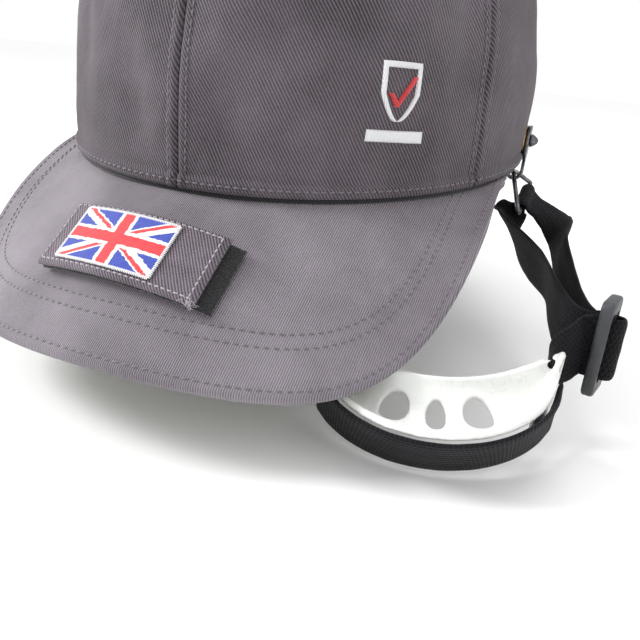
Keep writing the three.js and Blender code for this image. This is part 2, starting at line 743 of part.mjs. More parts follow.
// The webbing turns round the slider's middle bar and goes on to the inner side of the cup's lug.
const leadRun = [inSlider(-2, SLOT_OFFSET), inSlider(0, SLOT_OFFSET)];
for (let angle = 90; angle >= -90; angle -= 30) {
  const [across, deep] = [Math.cos(angle * DEG), Math.sin(angle * DEG)];
  leadRun.push(inSlider(TURN_RUN + SLOT_OFFSET * across, SLOT_OFFSET * deep));
}
leadRun.push(
  inSlider(0, -SLOT_OFFSET),
  inSlider(-2.2, -SLOT_OFFSET),
  inSlider(-4.2, -SLOT_OFFSET - 0.8),
  [vec(121.4, -85.6, 17.6), vec(0, 0.2, 0.98)],
  [vec(117, -91, 15.2), vec(0, 0.06, 0.99)],
  [inCup(68, 35.1, 13.6), vec(0, 0, 1)],
);
addMesh('webbing_left_lead', webbing(leadRun), 'webbing', strap);

// ---------- chin cup ----------

// The cup's own frame: x along its length, y toward its front, z up from the plane it lies on.
const cupFrame = new THREE.Group();
cupFrame.position.copy(CUP_CENTRE);
cupFrame.rotation.z = CUP_TURN * DEG;
strap.add(cupFrame);

// The webbing that hugs the cup's front leans outward most in the middle.
const flareAt = (theta) => CUP_FLARE * Math.cos((theta / CUP_SPAN) * 90 * DEG) ** 0.8;
const aroundCup = (radius, theta, z) => vec(
  radius * Math.sin(theta * DEG),
  -radius * Math.cos(theta * DEG),
  z,
);

const frontRun = [];
for (let theta = -CUP_SPAN + 1; theta <= CUP_SPAN; theta += 12.1) {
  const low = aroundCup(CUP_RADIUS, theta, 0.4);
  const high = aroundCup(CUP_RADIUS + flareAt(theta), theta, 18.8);
  frontRun.push([low.clone().add(high).multiplyScalar(0.5), high.sub(low).normalize()]);
}
addMesh('webbing_cup_front', webbing(frontRun), 'webbing', cupFrame);

function cupMid(u, v) {
  const theta = (u - 0.5) * 2 * DISH_SPAN;
  const near = aroundCup(CUP_RADIUS + flareAt(theta) - 2.4, theta, 19.5);
  const x = DISH_HALF * (u - 0.5) * 2;
  const far = vec(x, -(CUP_FAR_FRONT + (CUP_FAR_END - CUP_FAR_FRONT) * (x / 35) ** 2), CUP_FAR_Z);
  const sag = CUP_DEPTH * 4 * v * (1 - v) * (1 - 0.75 * ((u - 0.5) * 2) ** 4);
  return near.lerp(far, v).add(vec(0, 0, -sag));
}

function cupSurface(side) {
  return (u, v) => {
    const step = 1e-3;
    const base = cupMid(u, v);
    const [u1, v1] = [u + (u > 0.5 ? -step : step), v + (v > 0.5 ? -step : step)];
    const normal = cupMid(u1, v).sub(base).cross(cupMid(u, v1).sub(base)).normalize();
    if (normal.z < 0) normal.negate();
    return base.addScaledVector(normal, (side * CUP_WALL) / 2);
  };
}

// Each end is an upright curved lug with a slot that the webbing comes through.
function cupLug(side) {
  const [from, to] = side > 0 ? [DISH_SPAN - 4, CUP_SPAN + 13] : [-CUP_SPAN - 13, 4 - DISH_SPAN];
  const wall = (radius) => (u, v) => {
    const theta = THREE.MathUtils.lerp(from, to, u);
    const end = side > 0 ? u : 1 - u;
    const low = THREE.MathUtils.lerp(0.2, 1.8, end ** 3);
    const high = THREE.MathUtils.lerp(26.2, 24.9, end ** 3);
    return aroundCup(radius, theta, THREE.MathUtils.lerp(low, high, v));
  };
  return slab(5, 1, wall(CUP_RADIUS - 2.9), wall(CUP_RADIUS - 1.3));
}

function cupSlot(side) {
  const slot = new THREE.BoxGeometry(3.2, 12, 20.6);
  slot.translate(0, -CUP_RADIUS, 13.4);
  slot.rotateZ(side * (CUP_SPAN + 4.5) * DEG);
  return slot;
}

// An oval hole through the dish, cut square to it.
function cupHole(u, width, height) {
  const v = 0.56;
  const step = 1e-3;
  const place = cupMid(u, v);
  const along = cupMid(u + step, v).sub(place).normalize();
  const rise = cupMid(u, v + step).sub(place).normalize();
  const through = along.clone().cross(rise).normalize();
  const hole = new THREE.CylinderGeometry(1, 1, 12, 14);
  hole.rotateX(90 * DEG);
  hole.scale(width / 2, height / 2, 1);
  hole.applyMatrix4(new THREE.Matrix4().makeBasis(along, through.clone().cross(along), through));
  hole.translate(...place.toArray());
  return hole;
}

const cupBody = joinAll([slab(24, 10, cupSurface(-1), cupSurface(1)), cupLug(1), cupLug(-1)]);
const cupCuts = [
  cupSlot(1), cupSlot(-1), cupHole(0.5, 5.5, 11), cupHole(0.69, 8.7, 11.5), cupHole(0.31, 8.7, 11.5),
];
addMesh('chin_cup', cutAll(cupBody, cupCuts), 'cup', cupFrame);

// ---------- webbing to the wearer's right hook ----------

const rightRun = [
  [inCup(-68, 35.1, 13.6), vec(0, 0, 1)],
  [inCup(-84, 35.8, 13.2), vec(0, 0, 1)],
  [vec(30, -88, 12.3), vec(0.25, 0.25, 0.93)],
  [vec(0, -59, 11.5), vec(0.3, 0.3, 0.9)],
  [vec(-35, -34, 12.5), vec(0.15, 0.4, 0.9)],
  [vec(-66, -10, 13.5), vec(0, 0.7, 0.7)],
  [vec(-84, 8, 18), vec(0, 0.95, 0.3)],
  [vec(-90.1, 12, 21.4), vec(-0.05, 0.98, 0.19), FOLD_WIDTH],
  ...ringTurn(-1),
  [vec(-96.4, 11, 21), vec(0, 0.98, 0.2), 18],
  [vec(-95.2, 7.5, 15), vec(0, 0.93, 0.36)],
  [vec(-88, -2, 8), vec(0, 0.8, 0.6)],
];
addMesh('webbing_right_run', webbing(rightRun), 'webbing', strap);

// ---------- hooks and rings ----------

function mirrored(geometry, side) {
  if (side > 0) return geometry;
  geometry.scale(-1, 1, 1);
  if (!geometry.getIndex()) return mergeVertices(geometry);
  return faceOutward(geometry);
}

// A plate that hangs from its rivet and ends in a narrow curl that opens toward the cap.
function hookPlate() {
  const plate = new THREE.BoxGeometry(PLATE_THICK, PLATE_WIDTH, PLATE_TOP - CURL_Z - 3);
  plate.translate(HOOK_WALL + PLATE_THICK / 2, HOOK_Y, (PLATE_TOP + CURL_Z + 3) / 2);
  const rings = [];
  const bar = (x, z, dirX, dirZ) => {
    const corners = [];
    for (const [out, across] of [[-1, -1], [1, -1], [1, 1], [-1, 1]]) {
      corners.push(vec(
        x + (out * PLATE_THICK * dirX) / 2,
        HOOK_Y + (across * CURL_WIDTH) / 2,
        z + (out * PLATE_THICK * dirZ) / 2,
      ));
    }
    return corners;
  };
  const curlX = HOOK_WALL + PLATE_THICK / 2 - CURL_RADIUS - PLATE_THICK / 2;
  const middle = CURL_RADIUS + PLATE_THICK / 2;
  rings.push(bar(HOOK_WALL + PLATE_THICK / 2, CURL_Z + 5, 1, 0));
  for (let angle = 0; angle >= -165; angle -= 27.5) {
    const [c, s] = [Math.cos(angle * DEG), Math.sin(angle * DEG)];
    rings.push(bar(curlX + middle * c, CURL_Z + middle * s, c, s));
  }
  const hole = new THREE.CylinderGeometry(1.9, 1.9, 10, 16);
  hole.rotateZ(90 * DEG);
  hole.translate(HOOK_WALL, HOOK_Y, HOOK_RIVET_Z);
  return cutAll(joinAll([plate, loft(rings)]), [hole]);
}

function rivet() {
  const outline = [
    new THREE.Vector2(0, -2),
    new THREE.Vector2(RIVET_SHANK, -2),
    new THREE.Vector2(RIVET_SHANK, PLATE_THICK + GAP),
    new THREE.Vector2(2.9, PLATE_THICK + GAP),
    new THREE.Vector2(2.7, PLATE_THICK + 2),
    new THREE.Vector2(1.6, PLATE_THICK + 3.8),
    new THREE.Vector2(0.6, PLATE_THICK + 4.6),
    new THREE.Vector2(0, PLATE_THICK + 4.7),
  ];
  const body = new THREE.LatheGeometry(outline, 16);
  body.rotateZ(-90 * DEG);
  body.translate(HOOK_WALL, HOOK_Y, HOOK_RIVET_Z);
  return body;
}

function grommet() {
  const outline = [
    new THREE.Vector2(2, 0),
    new THREE.Vector2(EYELET_RADIUS, 0),
    new THREE.Vector2(EYELET_RADIUS - 0.4, 0.4),
    new THREE.Vector2(2, 0.4),
    new THREE.Vector2(2, 0),
  ];
  const body = new THREE.LatheGeometry(outline, 20);
  body.rotateZ(-90 * DEG);
  body.translate(HOOK_WALL - 0.55, HOOK_Y, HOOK_RIVET_Z);
  return body;
}

// A bent-wire ring: its short side sits in the hook's curl and its long side holds the webbing.
function wireRing() {
  const corners = [
    RING_TOP.clone().addScaledVector(RING_TOP_DIR, -RING_TOP_HALF),
    RING_BAR.clone().addScaledVector(RING_BAR_DIR, -RING_BAR_HALF),
    RING_BAR.clone().addScaledVector(RING_BAR_DIR, RING_BAR_HALF),
    RING_TOP.clone().addScaledVector(RING_TOP_DIR, RING_TOP_HALF),
  ];
  const round = 1.5;
  const toward = (from, to) => to.clone().sub(from).setLength(round).add(from);
  const path = new THREE.CurvePath();
  corners.forEach((here, i) => {
    const before = corners[(i + 3) % 4];
    const next = corners[(i + 1) % 4];
    path.add(new THREE.QuadraticBezierCurve3(toward(here, before), here, toward(here, next)));
    path.add(new THREE.LineCurve3(toward(here, next), toward(next, here)));
  });
  const steps = 40;
  const plane = corners[1].clone().sub(corners[0]).cross(corners[2].clone().sub(corners[0]));
  plane.normalize();
  const rings = [];
  for (let i = 0; i < steps; i += 1) {
    const centre = path.getPoint(i / steps);
    const outward = new THREE.Vector3().crossVectors(path.getTangent(i / steps), plane);
    const ring = [];
    for (let k = 0; k < 6; k += 1) {
      const angle = k * 60 * DEG;
      ring.push(centre.clone()
        .addScaledVector(outward, WIRE_RADIUS * Math.cos(angle))
        .addScaledVector(plane, WIRE_RADIUS * Math.sin(angle)));
    }
    rings.push(ring);
  }
  return loft(rings, true);
}

for (const [label, side] of [['left', 1], ['right', -1]]) {
  addMesh(`hook_eyelet_${label}`, mirrored(grommet(), side), 'brass');
  addMesh(`hook_rivet_${label}`, mirrored(rivet(), side), 'steel');
  addMesh(`hook_plate_${label}`, mirrored(hookPlate(), side), 'steel');
  addMesh(`ring_${label}`, mirrored(wireRing(), side), 'steel', strap);
}

export default cap;
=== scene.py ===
import bmesh
import bpy
import math
import numpy as np
from mathutils import Matrix, Vector


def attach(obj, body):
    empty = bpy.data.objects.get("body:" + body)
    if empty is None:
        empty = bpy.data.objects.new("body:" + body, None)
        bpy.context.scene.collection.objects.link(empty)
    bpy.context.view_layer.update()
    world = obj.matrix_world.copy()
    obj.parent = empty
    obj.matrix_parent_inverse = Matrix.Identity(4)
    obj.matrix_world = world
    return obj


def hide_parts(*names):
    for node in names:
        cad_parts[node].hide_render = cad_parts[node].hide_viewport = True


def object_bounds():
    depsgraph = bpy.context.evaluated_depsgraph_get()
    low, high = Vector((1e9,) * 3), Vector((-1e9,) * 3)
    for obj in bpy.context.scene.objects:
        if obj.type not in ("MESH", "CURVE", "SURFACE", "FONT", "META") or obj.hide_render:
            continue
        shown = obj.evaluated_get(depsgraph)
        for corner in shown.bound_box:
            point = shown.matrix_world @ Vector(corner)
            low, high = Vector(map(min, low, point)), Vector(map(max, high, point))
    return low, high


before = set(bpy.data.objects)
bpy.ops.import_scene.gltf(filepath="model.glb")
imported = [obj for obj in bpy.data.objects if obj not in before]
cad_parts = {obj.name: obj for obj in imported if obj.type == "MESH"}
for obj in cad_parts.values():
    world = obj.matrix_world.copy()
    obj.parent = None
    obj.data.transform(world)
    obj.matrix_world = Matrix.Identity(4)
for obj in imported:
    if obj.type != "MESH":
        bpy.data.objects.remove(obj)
cad_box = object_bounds()
scene = bpy.context.scene
MM = 0.001
TAU = 2 * math.pi


# ---------------------------------------------------------------- camera, light and floor

# The camera's numbers are the rounded result of a fit.
CAMERA_LENS = 35.46
CAMERA_PLACE = (0.10983, -0.27077, 0.0325)
CAMERA_RIGHT = (0.92267, 0.37515, 0.08915)
CAMERA_UP = (-0.22022, 0.32289, 0.92046)
CAMERA_BACK = (0.31652, -0.86891, 0.38053)
FLOOR_HALF = 6
FLOOR_GAP = 0.0015


def add_camera():
    data = bpy.data.cameras.new("camera")
    data.lens = CAMERA_LENS
    data.sensor_width = 36
    data.clip_start = 0.01
    camera = bpy.data.objects.new("camera", data)
    scene.collection.objects.link(camera)
    basis = Matrix((CAMERA_RIGHT, CAMERA_UP, CAMERA_BACK)).transposed()
    camera.matrix_world = Matrix.Translation(CAMERA_PLACE) @ basis.to_4x4()
    scene.camera = camera


def add_light(name, place, target, size, energy):
    data = bpy.data.lights.new(name, "AREA")
    data.size = size
    data.energy = energy
    light = bpy.data.objects.new(name, data)
    scene.collection.objects.link(light)
    light.location = place
    light.rotation_euler = (Vector(target) - Vector(place)).to_track_quat("-Z", "Y").to_euler()


def add_studio():
    scene.view_settings.view_transform = "Standard"
    world = bpy.data.worlds.new("studio")
    scene.world = world
    world.use_nodes = True
    world.node_tree.nodes["Background"].inputs["Color"].default_value = (1, 1, 1, 1)
    world.node_tree.nodes["Background"].inputs["Strength"].default_value = 1.0
    add_light("key", (-1.05, -0.5, 0.8), (0, -0.05, 0.03), 0.45, 17)
    add_light("fill", (0.9, -0.6, 0.7), (0.03, -0.05, 0), 0.9, 0.8)
    add_light("top", (0.0, 0.15, 1.3), (0, 0, 0), 0.8, 4)
    mesh = bpy.data.meshes.new("floor")
    low = cad_box[0][2] - FLOOR_GAP
    corners = [(x * FLOOR_HALF, y * FLOOR_HALF, low) for x, y in ((-1, -1), (1, -1), (1, 1), (-1, 1))]
    mesh.from_pydata(corners, [], [(0, 1, 2, 3)])
    floor = bpy.data.objects.new("floor", mesh)
    scene.collection.objects.link(floor)
    material = bpy.data.materials.new("floor")
    material.use_nodes = True
    shader = material.node_tree.nodes["Principled BSDF"]
    shader.inputs["Base Color"].default_value = (0.97, 0.97, 0.97, 1)
    shader.inputs["Roughness"].default_value = 0.9
    mesh.materials.append(material)


# ---------------------------------------------------------------- materials

def linear(red, green, blue):
    parts = []
    for value in (red, green, blue):
        v = value / 255
        parts.append(v / 12.92 if v <= 0.04045 else ((v + 0.055) / 1.055) ** 2.4)
    return (*parts, 1)


class Nodes:
    """A material being built: each call adds one node and returns its output."""

    def __init__(self, name, roughness, **sockets):
        self.material = bpy.data.materials.new(name)
        self.material.use_nodes = True
        self.tree = self.material.node_tree
        self.shader = self.tree.nodes["Principled BSDF"]
        self.shader.inputs["Roughness"].default_value = roughness
        for socket, value in sockets.items():
            self.shader.inputs[socket.replace("_", " ")].default_value = value

    def put(self, socket, value):
        if isinstance(value, bpy.types.NodeSocket):
            self.tree.links.new(value, socket)
        else:
            socket.default_value = value

    def add(self, kind, output=0, settings=(), **inputs):
        node = self.tree.nodes.new(kind)
        for key, value in dict(settings).items():
            setattr(node, key, value)
        for key, value in inputs.items():
            self.put(node.inputs[int(key[1:]) if key[0] == "i" and key[1:].isdigit() else key], value)
        return node.outputs[output]

    def math(self, operation, a, b=0.0):
        return self.add("ShaderNodeMath", settings={"operation": operation}, i0=a, i1=b)

    def split(self, vector):
        node = self.tree.nodes.new("ShaderNodeSeparateXYZ")
        self.put(node.inputs[0], vector)
        return node.outputs[0], node.outputs[1], node.outputs[2]

    def uv(self):
        return self.split(self.tree.nodes.new("ShaderNodeUVMap").outputs[0])

    def place(self):
        return self.tree.nodes.new("ShaderNodeTexCoord").outputs["Object"]

    def noise(self, scale, detail=3.0, roughness=0.6):
        inputs = {"Scale": scale, "Detail": detail, "Roughness": roughness, "Vector": self.place()}
        return self.add("ShaderNodeTexNoise", **inputs)

    def ramp(self, value, low, high, out_low=0.0, out_high=1.0):
        inputs = {"Value": value, "From Min": low, "From Max": high}
        inputs.update({"To Min": out_low, "To Max": out_high})
        return self.add("ShaderNodeMapRange", **inputs)

    def mix(self, factor, a, b):
        return self.add("ShaderNodeMix", 2, {"data_type": "RGBA"}, i0=factor, i6=a, i7=b)

    def bump(self, height, distance, strength, normal=None):
        inputs = {"Height": height, "Distance": distance, "Strength": strength}
        if normal is not None:
            inputs["Normal"] = normal
        return self.add("ShaderNodeBump", **inputs)

    def wave(self, value, pitch):
        return self.ramp(self.math("SINE", self.math("MULTIPLY", value, TAU / pitch)), -1.0, 1.0)

    def finish(self, colour, normal=None, roughness=None):
        self.put(self.shader.inputs["Base Color"], colour)
        if normal is not None:
            self.put(self.shader.inputs["Normal"], normal)
        if roughness is not None:
            self.put(self.shader.inputs["Roughness"], roughness)
        return self.material


def twill(name, light, dark, pitch, lean, depth=0.10, mottling=0.35, sheen=0.25):
    """Diagonal or straight ribs from the piece's UVs, which are millimetres of cloth."""
    n = Nodes(name, 0.9, Sheen_Weight=sheen, Sheen_Roughness=0.5, Specular_IOR_Level=0.25)
    u, v, _ = n.uv()
    drift = n.noise(900.0, 2.0)
    across = n.math("ADD", n.math("MULTIPLY", u, math.cos(lean)), n.math("MULTIPLY", v, math.sin(lean)))
    across = n.math("ADD", across, n.math("MULTIPLY", drift, 0.25 * pitch))
    along = n.math("SUBTRACT", n.math("MULTIPLY", v, math.cos(lean)), n.math("MULTIPLY", u, math.sin(lean)))
    rib = n.wave(across, pitch)
    yarn = n.wave(along, pitch * 1.25)
    height = n.math("ADD", rib, n.math("MULTIPLY", n.math("MULTIPLY", yarn, rib), 0.45))
    fibres = n.noise(2600.0, 2.0, 0.7)
    height = n.math("ADD", height, n.math("MULTIPLY", fibres, 0.5))
    blotches = n.noise(26.0, 5.0, 0.62)
    # The colour follows the ribs and fibres and is darker down between them: painted shade in the weave. The
    # blotches add random tone.
    tone = n.math("ADD", n.math("MULTIPLY", rib, 0.55), n.math("MULTIPLY", fibres, 0.45))
    tone = n.math("ADD", tone, n.math("MULTIPLY", n.ramp(blotches, 0.3, 0.7, -1.0, 1.0), mottling * 0.5))
    colour = n.mix(n.ramp(tone, 0.1, 0.95), dark, light)
    soft = n.bump(blotches, 0.0006, 0.25)
    return n.finish(colour, n.bump(height, depth * MM, 0.9, soft))


def woven(name, light, dark):
    """Flat webbing: rows of small crosswise ribs, each row half a rib out of step with the next."""
    pitch, depth = 1.25, 0.2
    n = Nodes(name, 0.8, Sheen_Weight=0.04, Sheen_Roughness=0.4, Specular_IOR_Level=0.2)
    u, v, _ = n.uv()
    row = n.math("PINGPONG", u, 1.6)
    step = n.math("ADD", n.math("MULTIPLY", n.math("GREATER_THAN", row, 0.8), pitch / 2), v)
    weft = n.wave(step, pitch)
    warp = n.wave(u, 1.6)
    fibres = n.noise(3000.0, 2.0, 0.7)
    height = n.math("ADD", n.math("MULTIPLY", weft, 0.9), n.math("MULTIPLY", warp, 0.5))
    height = n.math("ADD", height, n.math("MULTIPLY", fibres, 0.35))
    wear = n.noise(55.0, 4.0)
    # The colour follows the weave's height and is darker in its low parts: painted shade. The wear noise
    # adds random tone.
    tone = n.math("ADD", n.math("MULTIPLY", height, 0.5), n.ramp(wear, 0.35, 0.7, -0.25, 0.25))
    return n.finish(n.mix(n.ramp(tone, 0.1, 1.0), dark, light), n.bump(height, depth * MM, 1.0))


def fuzzy(name, light, dark, scale=1800.0, depth=0.3):
    """Loop or hook tape, brushed cloth and foam: a fine irregular pile."""
    n = Nodes(name, 0.95, Sheen_Weight=0.3, Specular_IOR_Level=0.2)
    pile = n.add("ShaderNodeTexVoronoi", Vector=n.place(), Scale=scale)
    rough = n.noise(scale * 0.35, 4.0, 0.7)
    height = n.math("ADD", pile, rough)
    # The colour follows the pile's height and is darker down in it: painted shade.
    return n.finish(n.mix(n.ramp(height, 0.35, 1.35), dark, light), n.bump(height, depth * MM, 0.9))


def moulded(name, light, dark, roughness, grain=1400.0, depth=0.03, **sockets):
    """Plastic with a fine moulded texture and a little wear."""
    n = Nodes(name, roughness, **sockets)
    fine = n.noise(grain, 3.0)
    wear = n.noise(90.0, 5.0, 0.65)
    tone = n.ramp(wear, 0.4, 0.7)
    shine = n.ramp(wear, 0.35, 0.7, roughness * 0.8, min(1.0, roughness * 1.3))
    return n.finish(n.mix(tone, dark, light), n.bump(fine, depth * MM, 0.7), shine)


def metal(name, light, dark, roughness):
    n = Nodes(name, roughness, Metallic=1.0)
    scratches = n.noise(700.0, 4.0, 0.7)
    stains = n.noise(160.0, 5.0, 0.6)
    shine = n.ramp(scratches, 0.3, 0.7, roughness * 0.7, roughness * 1.4)
    return n.finish(n.mix(n.ramp(stains, 0.4, 0.65), dark, light), n.bump(scratches, 0.00002, 0.6), shine)


def thread(name, colour):
    n = Nodes(name, 0.55, Sheen_Weight=0.4, Specular_IOR_Level=0.5)
    twist = n.noise(4200.0, 2.0)
    dark = tuple(c * 0.72 for c in colour[:3]) + (1,)
    return n.finish(n.mix(n.ramp(twist, 0.35, 0.65), dark, colour), n.bump(twist, 0.00005, 0.6))


def satin(name, colour, lean):
    """Satin-stitch embroidery: close parallel threads along one direction of the UVs."""
    pitch, depth = 0.42, 0.14
    n = Nodes(name, 0.5, Sheen_Weight=0.35, Specular_IOR_Level=0.5)
    u, v, _ = n.uv()
    across = n.math("ADD", n.math("MULTIPLY", u, math.cos(lean)), n.math("MULTIPLY", v, math.sin(lean)))
    threads = n.wave(n.math("ADD", across, n.math("MULTIPLY", n.noise(500.0), 0.15)), pitch)
    # The colour is darker in the grooves between the threads: painted shade.
    dark = tuple(c * 0.7 for c in colour[:3]) + (1,)
    return n.finish(n.mix(n.ramp(threads, 0.0, 0.7), dark, colour), n.bump(threads, depth * MM, 0.9))


def flag_cloth(half_length, half_width):
    """A plain national flag of crossed bars on a blue field, embroidered."""
    n = Nodes("flag_thread", 0.5, Sheen_Weight=0.3, Specular_IOR_Level=0.45)
    u, v, _ = n.uv()
    wobble = n.ramp(n.noise(700.0, 3.0), 0.3, 0.7, -0.22, 0.22)
    x = n.math("ADD", u, wobble)
    y = n.math("ADD", v, wobble)
    slope = half_width / half_length
    length = math.hypot(1, slope)

    def bar(distance, half):
        return n.ramp(n.math("ABSOLUTE", distance), half - 0.08, half + 0.08, 1.0, 0.0)

    falling = n.math("DIVIDE", n.math("ADD", y, n.math("MULTIPLY", x, slope)), length)
    rising = n.math("DIVIDE", n.math("SUBTRACT", y, n.math("MULTIPLY", x, slope)), length)
    side = n.math("SIGN", x)
    red_falling = n.math("ADD", falling, n.math("MULTIPLY", side, 0.62))
    red_rising = n.math("SUBTRACT", rising, n.math("MULTIPLY", side, 0.62))
    fifteenth = half_width / 15
    white = n.math("MAXIMUM", bar(falling, 3 * fifteenth), bar(rising, 3 * fifteenth))
    red = n.math("MAXIMUM", bar(red_falling, fifteenth), bar(red_rising, fifteenth))
    colour = n.mix(white, linear(28, 60, 178), linear(244, 244, 244))
    colour = n.mix(red, colour, linear(232, 36, 48))
    cross = n.math("MAXIMUM", bar(x, 5 * fifteenth), bar(y, 5 * fifteenth))
    colour = n.mix(cross, colour, linear(246, 246, 246))
    cross = n.math("MAXIMUM", bar(x, 3.1 * fifteenth), bar(y, 3.1 * fifteenth))
    colour = n.mix(cross, colour, linear(235, 34, 46))
    threads = n.wave(n.math("ADD", n.math("MULTIPLY", u, 0.5), v), 0.46)
    fill = n.noise(2200.0, 2.0)
    height = n.math("ADD", threads, n.math("MULTIPLY", fill, 0.6))
    shade = n.mix(n.ramp(height, 0.1, 1.2, 0.72, 1.0), (0, 0, 0, 1), colour)
    return n.finish(shade, n.bump(height, 0.00014, 0.9))


CROWN = twill(
    "crown_twill", linear(116, 107, 115), linear(34, 30, 34), 0.95, math.radians(32), 0.2, 0.35, 0.12,
)
CROWN_PLAIN = twill("binding_twill", linear(116, 107, 115), linear(44, 39, 44), 0.6, math.radians(60))
BILL = twill("bill_twill", linear(152, 145, 153), linear(76, 69, 77), 0.6, math.radians(2), 0.12, 0.35, 0.2)
PATCH = twill(
    "patch_twill", linear(140, 129, 140), linear(46, 40, 46), 0.8, math.radians(35), 0.16, 0.6, 0.15,
)
UNDERBILL = twill("underbill_twill", linear(150, 148, 130), linear(96, 95, 82), 0.6, math.radians(40))
LINING = twill("lining_cloth", linear(66, 66, 72), linear(34, 34, 38), 0.8, math.radians(45))
# Painted shade: a near-black cloth for the hem fold, standing for the shadow in the slit above the bill.
HEM_SHADE_TWILL = twill("hem_shadow_cloth", linear(40, 37, 41), linear(18, 17, 19), 0.8, math.radians(45))
WEBBING = woven("webbing", linear(31, 32, 37), linear(5, 5, 7))
TAPE = fuzzy("hook_tape", linear(46, 46, 48), linear(8, 8, 9))
FOAM = fuzzy("foam_cover", linear(72, 73, 78), linear(38, 38, 42), 900.0, 0.2)
BOARD = moulded("bill_board", linear(50, 50, 52), linear(30, 30, 32), 0.6)
SHELL = moulded("liner_shell", linear(44, 46, 50), linear(24, 25, 28), 0.42)
BUCKLE = moulded("buckle", linear(66, 67, 71), linear(44, 46, 49), 0.46)
CUP = moulded(
    "cup_plastic", linear(247, 248, 246), linear(236, 238, 234), 0.3, 500.0, 0.01,
    Transmission_Weight=0.15, IOR=1.45, Coat_Weight=0.25, Coat_Roughness=0.15,
)
STEEL = metal("dark_steel", linear(128, 129, 132), linear(58, 59, 62), 0.32)
BRASS = metal("brass", linear(214, 172, 104), linear(150, 108, 60), 0.28)
THREAD = thread("crown_thread", linear(104, 96, 104))
PALE_THREAD = thread("pale_thread", linear(176, 169, 176))
# Dark thread for the bar tacks; the same material is painted shade for the eyelets' holes.
DARK_THREAD_AND_HOLE_SHADE = thread("dark_thread_and_hole_shade", linear(40, 40, 43))
WHITE_THREAD = thread("white_thread", linear(238, 238, 240))
WHITE_SATIN = satin("white_satin", linear(240, 240, 242), math.radians(20))
RED_SATIN = satin("red_satin", linear(212, 40, 48), math.radians(70))


# ---------------------------------------------------------------- meshes

def finish_piece(obj, material, body, replaces=()):
    """Gives a piece its material and body, and hides the CAD objects it stands for."""
    obj.data.materials.append(material)
    obj.data.polygons.foreach_set("use_smooth", [True] * len(obj.data.polygons))
    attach(obj, body)
    if replaces:
        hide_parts(*replaces)
    return obj


def make_mesh(name, points, faces, uvs=None):
    """points are millimetres in the row frame; uvs is one pair a point."""
    mesh = bpy.data.meshes.new(name)
    mesh.from_pydata((np.asarray(points, float) * MM).tolist(), [], [tuple(f) for f in faces])
    if uvs is not None:
        layer = mesh.uv_layers.new(name="cloth")
        index = np.zeros(len(mesh.loops), int)
        mesh.loops.foreach_get("vertex_index", index)
        layer.data.foreach_set("uv", np.asarray(uvs, np.float32)[index].ravel())
    mesh.update()
    obj = bpy.data.objects.new(name, mesh)
    scene.collection.objects.link(obj)
    return obj


def grid_faces(columns, rows, start=0, flip=False):
    """Faces of a grid of points stored column by column."""
    faces = []
    for i in range(columns - 1):
        a = start + i * rows
        b = a + rows
        for j in range(rows - 1):
            face = (a + j, b + j, b + j + 1, a + j + 1)
            faces.append(face[::-1] if flip else face)
    return faces


def slab(name, outer, inner, uvs=None):
    """A closed sheet between two equal grids of points, outer with its normal outward."""
    columns, rows = outer.shape[:2]
    count = columns * rows
    points = np.concatenate([outer.reshape(-1, 3), inner.reshape(-1, 3)])
    faces = grid_faces(columns, rows) + grid_faces(columns, rows, count, True)
    border = [i * rows for i in range(columns)]
    border += [(columns - 1) * rows + j for j in range(1, rows)]
    border += [i * rows + rows - 1 for i in range(columns - 2, -1, -1)]
    border += list(range(rows - 2, 0, -1))
    for a, b in zip(border, border[1:] + border[:1]):
        faces.append((b, a, a + count, b + count))
    if uvs is not None:
        uvs = np.concatenate([uvs.reshape(-1, 2)] * 2)
    return make_mesh(name, points, faces, uvs)


def sweep(name, rings, closed=False, uvs=None):
    """Rings of equal length joined in a row, with flat ends, or joined up into a loop."""
    rings = np.asarray(rings, float)
    steps, count = rings.shape[:2]
    faces = []
    for i in range(steps if closed else steps - 1):
        a, b = i * count, ((i + 1) % steps) * count
        for j in range(count):
            k = (j + 1) % count
            faces.append((a + j, a + k, b + k, b + j))
    if not closed:
        faces.append(tuple(range(count))[::-1])
        faces.append(tuple((steps - 1) * count + j for j in range(count)))
    return make_mesh(name, rings.reshape(-1, 3), faces, uvs)


def spin(name, outline, centre, axis, segments=48):
    """A turned piece: outline is (radius, height) pairs along axis from centre."""
    axis = unit(np.asarray(axis, float))
    side = unit(np.cross(axis, (0.3, 0.1, 0.9)))
    other = np.cross(axis, side)
    rings = []
    for k in range(segments):
        turn = TAU * k / segments
        out = side * math.cos(turn) + other * math.sin(turn)
        rings.append([np.asarray(centre) + out * r + axis * h for r, h in outline])
    return sweep(name, rings, True)


def unit(v):
    v = np.asarray(v, float)
    return v / np.maximum(np.linalg.norm(v, axis=-1, keepdims=True), 1e-9)


def bevel(obj, width, segments=3, angle=35):
    modifier = obj.modifiers.new("bevel", "BEVEL")
    modifier.width = width * MM
    modifier.segments = segments
    modifier.limit_method = "ANGLE"
    modifier.angle_limit = math.radians(angle)
    return obj


def subdivide(obj):
    modifier = obj.modifiers.new("round", "SUBSURF")
    modifier.levels = modifier.render_levels = 1


def smooth_noise(x, y, seed, octaves=3):
    """A smooth random surface of two coordinates, in wavelengths of 1, made from fixed sines."""
    rng = np.random.default_rng(seed)
    total = np.zeros(np.broadcast(x, y).shape)
    for octave in range(octaves):
        for _ in range(5):
            angle = rng.uniform(0, TAU)
            shift = rng.uniform(0, TAU)
            size = 2.0 ** octave * rng.uniform(0.7, 1.3)
            wave = np.sin(TAU * size * (x * math.cos(angle) + y * math.sin(angle)) + shift)
            total = total + wave / (2.4 * 2.0 ** octave)
    return total / 2


def bell(value, width):
    return np.exp(-(value / width) ** 2)


